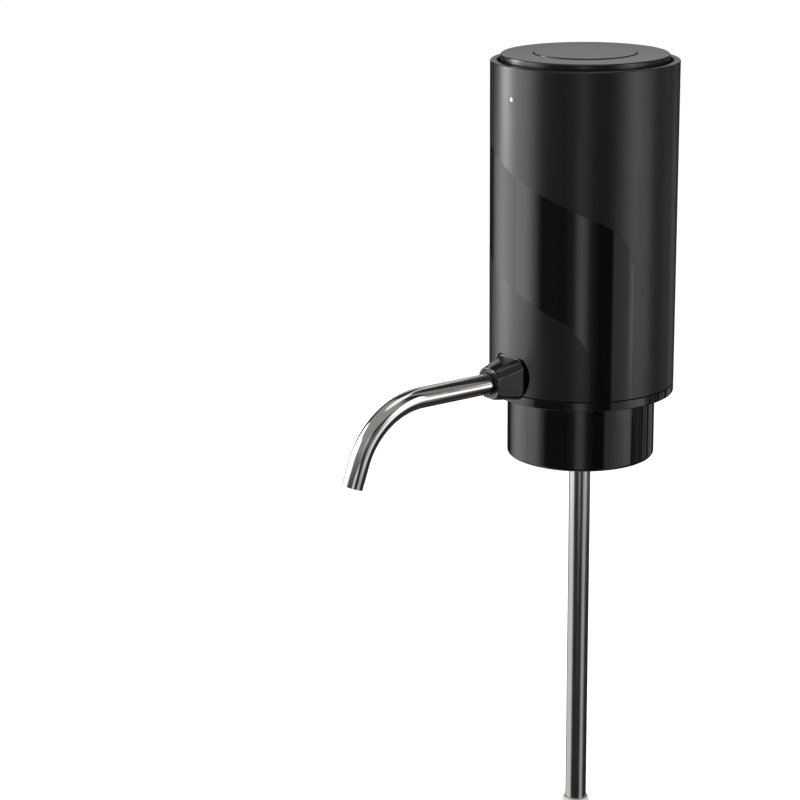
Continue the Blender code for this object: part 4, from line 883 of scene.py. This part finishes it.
carve(spoutBoss, [outerForm, ears], "UNION")
lipEnd = boss["sleeveBore"] + boss["innerLip"]
lipSide, lipFront = boss["innerLipShares"]
boreProfile = sharpProfile(
    (0, boss["back"] - overrun), (boss["branchBore"], boss["back"] - overrun),
    (boss["branchBore"], boss["branchReach"]), (boss["liquidBore"], boss["branchReach"]),
    (boss["liquidBore"], boss["boreStart"]), (boss["bore"], boss["boreStart"]),
    (boss["bore"], boss["sleeveSeat"]), (boss["sleeveBore"], boss["sleeveSeat"]),
    (boss["sleeveBore"], boss["front"] - boss["innerLip"]),
    (lipEnd - boss["innerLip"] * lipSide, boss["front"] - boss["innerLip"] * lipFront),
    (lipEnd, boss["front"]), (lipEnd, boss["front"] + overrun), (0, boss["front"] + overrun))
carve(spoutBoss, [
    solid("bossBore", turnedMesh("bossBore", boreProfile, boss["columns"]), toSpout, (0, 0, boss["axisZ"])),
    *screwHoles("earHole", base["deckHole"], base["earScrews"], boss["earHoleTop"])])
shadeSmooth(spoutBoss.data, boss["sharpDegrees"])
# boss ABS, moulded in a semi-polished tool: black with soft-edged reflections
bossAbs = mouldedPlastic("semi-gloss boss ABS", boss["look"])
fit(spoutBoss, "aerator", ["spout_boss"], bossAbs)
print("boss ready")


# sleeve and spout tube

sleeve = {"bore": 3.5, "radius": 4.2, "back": 33.7, "front": 38.5, "edge": 0.2, "columns": 96,
          "look": {**silicone, "roughness": 0.2, "spread": 0.03, "grain": 2.0}}
sleeveProfile = filletedProfile([
    (sleeve["bore"], sleeve["back"]), (sleeve["radius"], sleeve["back"], sleeve["edge"]),
    (sleeve["radius"], sleeve["front"], sleeve["edge"]), (sleeve["bore"], sleeve["front"], sleeve["edge"]),
])
spoutSleeve = solid("spoutSleeve", turnedMesh("spoutSleeve", sleeveProfile, sleeve["columns"]))
smoothTurned(spoutSleeve.data, sleeveProfile)
spoutSleeve.data.transform(Matrix.Translation((0, 0, boss["axisZ"] * mm)) @ toSpout)
# the same silicone from a polished tool: its end face still mirrors the room softly
sleeveSilicone = mouldedPlastic("polished-tool black silicone", sleeve["look"])
fit(spoutSleeve, "sleeve", ["spout_sleeve"], sleeveSilicone)

spout = {"radius": 3.3, "wall": 0.5, "lip": 0.2, "start": 27.2, "bendStart": 65.2, "bendRadius": 25.5,
         "bendDegrees": 70.0, "tail": 8.0,
         "sides": 96, "straightSteps": 8, "bendSteps": 60, "lipSteps": 5, "sharpDegrees": 40,
         "look": {"colour": "cfccc8", "roughness": 0.06, "range": (0.04, 0.09), "metallic": 1.0, "line": 0.6,
                  "stretch": (1.0, 0.2, 1.0), "wobble": 9.0, "strength": 0.6, "depth": 0.02}}
bendAngle = math.radians(spout["bendDegrees"])
# stations along the tube's middle: how far out and how high it is, and how far it has turned down
straight = spout["bendStart"] - spout["start"]
stations = [(spout["start"] + straight * k / spout["straightSteps"], 0.0, 0.0)
            for k in range(spout["straightSteps"])]
for k in range(spout["bendSteps"] + 1):
    angle = bendAngle * k / spout["bendSteps"]
    stations.append((spout["bendStart"] + spout["bendRadius"] * math.sin(angle),
                     -spout["bendRadius"] * (1 - math.cos(angle)), angle))
bendReach, bendFall, _ = stations[-1]


def tailStation(length):
    return (bendReach + length * math.cos(bendAngle), bendFall - length * math.sin(bendAngle), bendAngle)


def spoutRing(reach, fall, angle, radius):
    ring = []
    for k in range(spout["sides"]):
        turn = math.tau * k / spout["sides"]
        rise = radius * math.cos(turn)
        ring.append((radius * math.sin(turn), fall + rise * math.cos(angle), reach + rise * math.sin(angle)))
    return ring


# along the outside, round the lip and back along the bore
spoutBore = spout["radius"] - spout["wall"]
rings = [spoutRing(*station, spout["radius"]) for station in stations]
for side, radius in ((1, spout["radius"]), (-1, spoutBore)):
    for k in range(spout["lipSteps"] + 1):
        angle = math.pi / 2 * (k / spout["lipSteps"] if side == 1 else 1 - k / spout["lipSteps"])
        rings.append(spoutRing(*tailStation(spout["tail"] - spout["lip"] * (1 - math.sin(angle))),
                               radius - side * spout["lip"] * (1 - math.cos(angle))))
rings += [spoutRing(*station, spoutBore) for station in reversed(stations)]
spoutTube = solid("spoutTube", skinnedMesh("spoutTube", rings, joined=True), toSpout, (0, 0, boss["axisZ"]))
shadeSmooth(spoutTube.data, spout["sharpDegrees"])
# stainless tube, bent and then polished by hand: mirror bright with faint hairlines round it
polishedSteel = linedMetal("bent and polished stainless tube", spout["look"])
fit(spoutTube, "spout", ["spout_tube"], polishedSteel)
print("spout ready")


# suction tubes, gland and foot

drawn = {"colour": "bdbcba", "roughness": 0.2, "metallic": 1.0, "line": 0.25, "stretch": (1.0, 1.0, 0.02),
         "depth": 0.003, "strength": 0.4, "spread": 0.05}
# stainless tube, drawn through a die: bright, with fine lines along it
drawnSteel = linedMetal("drawn stainless tube", drawn)
acetal = {"colour": "e4e2da", "roughness": 0.36, "ior": 1.48, "grain": 0.4, "depth": 0.006, "strength": 0.4,
          "patch": 5.0, "spread": 0.04,
          "sockets": {"Subsurface Weight": 0.15, "Subsurface Radius": (0.001, 0.001, 0.0008)}}
# natural acetal, moulded: milky white and waxy
naturalAcetal = mouldedPlastic("moulded natural acetal", acetal)

tubeMeshing = (72, 4)  # facets round, and steps in each fillet
upperTube = {"radius": 3.5, "wall": 0.8, "boreEdge": 0.15, "lowEdge": 0.25, "topEdge": 0.2}
upperBore = upperTube["radius"] - upperTube["wall"]
upperLow, upperTop = heightsOf("suction_tube_upper")
turnedPiece(
    "upperSuctionTube", "suction_tube_upper", "aerator", "drawn_steel", drawnSteel,
    [(upperBore, upperLow, upperTube["boreEdge"]), (upperTube["radius"], upperLow, upperTube["lowEdge"]),
     (upperTube["radius"], upperTop, upperTube["topEdge"]), (upperBore, upperTop, upperTube["boreEdge"])],
    *tubeMeshing)

gland = {"bore": 2.35, "radius": 4.4, "grip": 3.7, "seat": 0.2, "boreEdge": 0.2, "lowEdge": 0.5,
         "topEdge": 0.25}
glandLow, glandTop = heightsOf("tube_gland")
glandSeat = upperLow - gland["seat"]
turnedPiece(
    "tubeGland", "tube_gland", "aerator", "natural_pom", naturalAcetal,
    [(gland["bore"], glandLow, gland["boreEdge"]), (gland["radius"], glandLow, gland["lowEdge"]),
     (gland["radius"], glandTop, gland["topEdge"]), (gland["grip"], glandTop), (gland["grip"], glandSeat),
     (gland["bore"], glandSeat)],
    *tubeMeshing)

lowerTube = {"radius": 2.1, "wall": 0.6, "boreEdge": 0.1, "lowEdge": 0.2, "stop": 2.5, "stopLength": 10.0,
             "stopEdge": 0.15}
lowerBore = lowerTube["radius"] - lowerTube["wall"]
lowerLow, lowerTop = heightsOf("suction_tube_lower")
stopZ = lowerTop - lowerTube["stopLength"]
turnedPiece(
    "lowerSuctionTube", "suction_tube_lower", "suction", "drawn_steel", drawnSteel,
    [(lowerBore, lowerLow, lowerTube["boreEdge"]), (lowerTube["radius"], lowerLow, lowerTube["lowEdge"]),
     (lowerTube["radius"], stopZ), (lowerTube["stop"], stopZ),
     (lowerTube["stop"], lowerTop, lowerTube["stopEdge"]), (lowerBore, lowerTop)],
    *tubeMeshing)

foot = {"radius": 3.35, "bore": 2.35, "shelf": 2.7, "boreEdge": 0.15, "lowEdge": 0.4, "topEdge": 0.25,
        "slotWidth": 1.2, "slotHeight": 1.6, "slotReach": 9}
footLow, footTop = heightsOf("tube_foot")
shelfZ = footLow + foot["shelf"]
halfSlot, slotTop = foot["slotWidth"] / 2, footLow + foot["slotHeight"]
turnedPiece(
    "tubeFoot", "tube_foot", "suction", "natural_pom", naturalAcetal,
    [(lowerBore, footLow, foot["boreEdge"]), (foot["radius"], footLow, foot["lowEdge"]),
     (foot["radius"], footTop, foot["topEdge"]), (foot["bore"], footTop), (foot["bore"], shelfZ),
     (lowerBore, shelfZ)],
    *tubeMeshing,
    cuts=[block("slotAcross", (-foot["slotReach"], -halfSlot, footLow - overrun),
                (foot["slotReach"], halfSlot, slotTop)),
          block("slotAlong", (-halfSlot, -foot["slotReach"], footLow - overrun),
                (halfSlot, foot["slotReach"], slotTop))])
print("suction tubes ready")


# finishes of the pieces inside, which keep their CAD shapes

# what most mouldings, extruded covers and metals share
plastic = {"ior": 1.53, "depth": 0.01, "strength": 0.5, "spread": 0.05}
cover = {"ior": 1.54, "grain": 0.5, "depth": 0.006, "strength": 0.4, "patch": 3.0, "spread": 0.05}
metal = {"metallic": 1.0, "depth": 0.004, "strength": 0.4, "spread": 0.05}
inside = {
    # ABS frame, moulded: dull dark grey, plain tool finish
    "moulded chassis ABS": (["chassis"], {
        **plastic, "colour": "3a3a3c", "roughness": 0.55, "grain": 0.4, "patch": 9.0}),
    # fibre-filled nylon, moulded: grey-black with a slightly fibrous skin
    "moulded pump nylon": (["pump_head", "valve_plate", "pump_crankcase"], {
        **plastic, "colour": "2a2a2b", "roughness": 0.5, "grain": 0.3, "depth": 0.012, "strength": 0.6,
        "patch": 5.0, "spread": 0.07}),
    # EPDM sheet, moulded: the dullest black of all
    "moulded diaphragm rubber": (["pump_diaphragm"], {
        **plastic, "colour": "222223", "roughness": 0.8, "ior": 1.5, "grain": 0.3, "patch": 3.0}),
    # nitrile rubber ring, moulded and dusted with talc: matt, with a pale bloom
    "moulded nitrile rubber": (["branch_o_ring"], {
        **plastic, "colour": "1d1d1e", "roughness": 0.72, "ior": 1.52, "grain": 0.2, "depth": 0.006,
        "patch": 1.5, "spread": 0.06}),
    # nylon switch body, moulded: small and crisp
    "moulded switch nylon": (["touch_switch", "switch_plunger"], {
        **plastic, "colour": "262627", "roughness": 0.5, "grain": 0.2, "depth": 0.006, "patch": 2.0}),
    # unfilled nylon end cap, moulded: ivory
    "moulded ivory nylon": (["motor_end_cap"], {
        **plastic, "colour": "cfc7b2", "roughness": 0.48, "grain": 0.3, "depth": 0.008, "strength": 0.4,
        "patch": 4.0}),
    # heat-shrunk PVC sleeve on the cell: glossy blue with soft ripples
    "shrunk cell wrap PVC": (["battery_cell"], {
        **cover, "colour": "2b5fa0", "roughness": 0.3, "grain": 6.0, "depth": 0.05, "patch": 7.0}),
    # silicone hose, extruded: clear grey and tacky
    "extruded hose silicone": (["air_hose"], {
        **cover, "colour": "c9cccb", "roughness": 0.42, "ior": 1.41, "grain": 0.8, "depth": 0.01}),
    # PVC wire covers, extruded: smooth, with a soft shine along the wire
    "extruded red PVC": (["motor_lead_red", "battery_lead_red"], {
        **cover, "colour": "b3211d", "roughness": 0.4}),
    "extruded black PVC": (["motor_lead_black", "battery_lead_black"], {
        **cover, "colour": "1b1b1c", "roughness": 0.42}),
    # ceramic package of the small lamp, with its cast dome: clean warm white
    "cast light package": (["status_light"], {
        **plastic, "colour": "e9e7d8", "roughness": 0.35, "ior": 1.5, "grain": 0.2, "depth": 0.004,
        "strength": 0.3, "patch": 1.0, "spread": 0.04}),
    # deep-drawn motor can, zinc plated: dull silver with drawing lines along it
    "plated motor can steel": (["motor_can"], {
        **metal, "colour": "a9aaaa", "roughness": 0.32, "line": 0.3, "stretch": (1.0, 1.0, 0.05),
        "spread": 0.06}),
    # ground rod: fine rings round it
    "ground shaft steel": (["motor_shaft", "wobble_pin"], {
        **metal, "colour": "b5b5b4", "roughness": 0.18, "line": 0.1, "stretch": (0.05, 0.05, 1.0),
        "depth": 0.002}),
    # stamped steel shell with tin plate: bright with a soft bloom
    "tin plated stamped steel": (["usb_socket"], {
        **metal, "colour": "c4c4c2", "roughness": 0.24, "line": 0.4, "stretch": (1.0, 0.1, 1.0)}),
    # cold-headed screws, zinc plated: slightly blue silver
    "zinc plated screw steel": ([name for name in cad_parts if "screw" in name], {
        **metal, "colour": "b4b7bb", "roughness": 0.3, "line": 0.15, "stretch": (1.0, 1.0, 0.3),
        "strength": 0.5, "spread": 0.07}),
}


def dress(nodes, finish):
    for node in nodes:
        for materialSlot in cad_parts[node].material_slots:
            materialSlot.material = finish


for name, (nodes, look) in inside.items():
    dress(nodes, linedMetal(name, look) if "metallic" in look else mouldedPlastic(name, look))
dress(["liquid_manifold", "wobble_plate", "drive_eccentric"], naturalAcetal)

board = {"colour": "1d5a34", "trackColour": "2c7a48", "roughness": 0.36, "ior": 1.55, "trackPitch": 3.2,
         "trackEdge": (0.06, 0.1), "strength": 0.5, "foil": 0.035}


# epoxy laminate, etched and printed with solder mask: green, with copper tracks a shade lighter
def boardFinish():
    finish, tree, shader = startFinish("printed board laminate", board)
    place = addNode(tree, "ShaderNodeTexCoord")
    tracks = addNode(tree, "ShaderNodeTexVoronoi", {"feature": "DISTANCE_TO_EDGE"},
                     {"Vector": place.outputs["Object"], "Scale": perMetre(board["trackPitch"])})
    trackSide, maskSide = board["trackEdge"]
    bare = addNode(tree, "ShaderNodeMapRange", None,
                   {"Value": tracks.outputs["Distance"], "From Min": trackSide, "From Max": maskSide})
    colour = addNode(tree, "ShaderNodeMix", {"data_type": "RGBA"},
                     {"Factor": bare.outputs["Result"], "A": linearOf(board["trackColour"]),
                      "B": linearOf(board["colour"])})
    tree.links.new(colour.outputs["Result"], shader.inputs["Base Color"])
    bump = addNode(tree, "ShaderNodeBump", {"invert": True},
                   {"Height": bare.outputs["Result"], "Strength": board["strength"],
                    "Distance": board["foil"] * mm})
    tree.links.new(bump.outputs["Normal"], shader.inputs["Normal"])
    return finish


dress(["control_board"], boardFinish())
print("inside finishes ready")
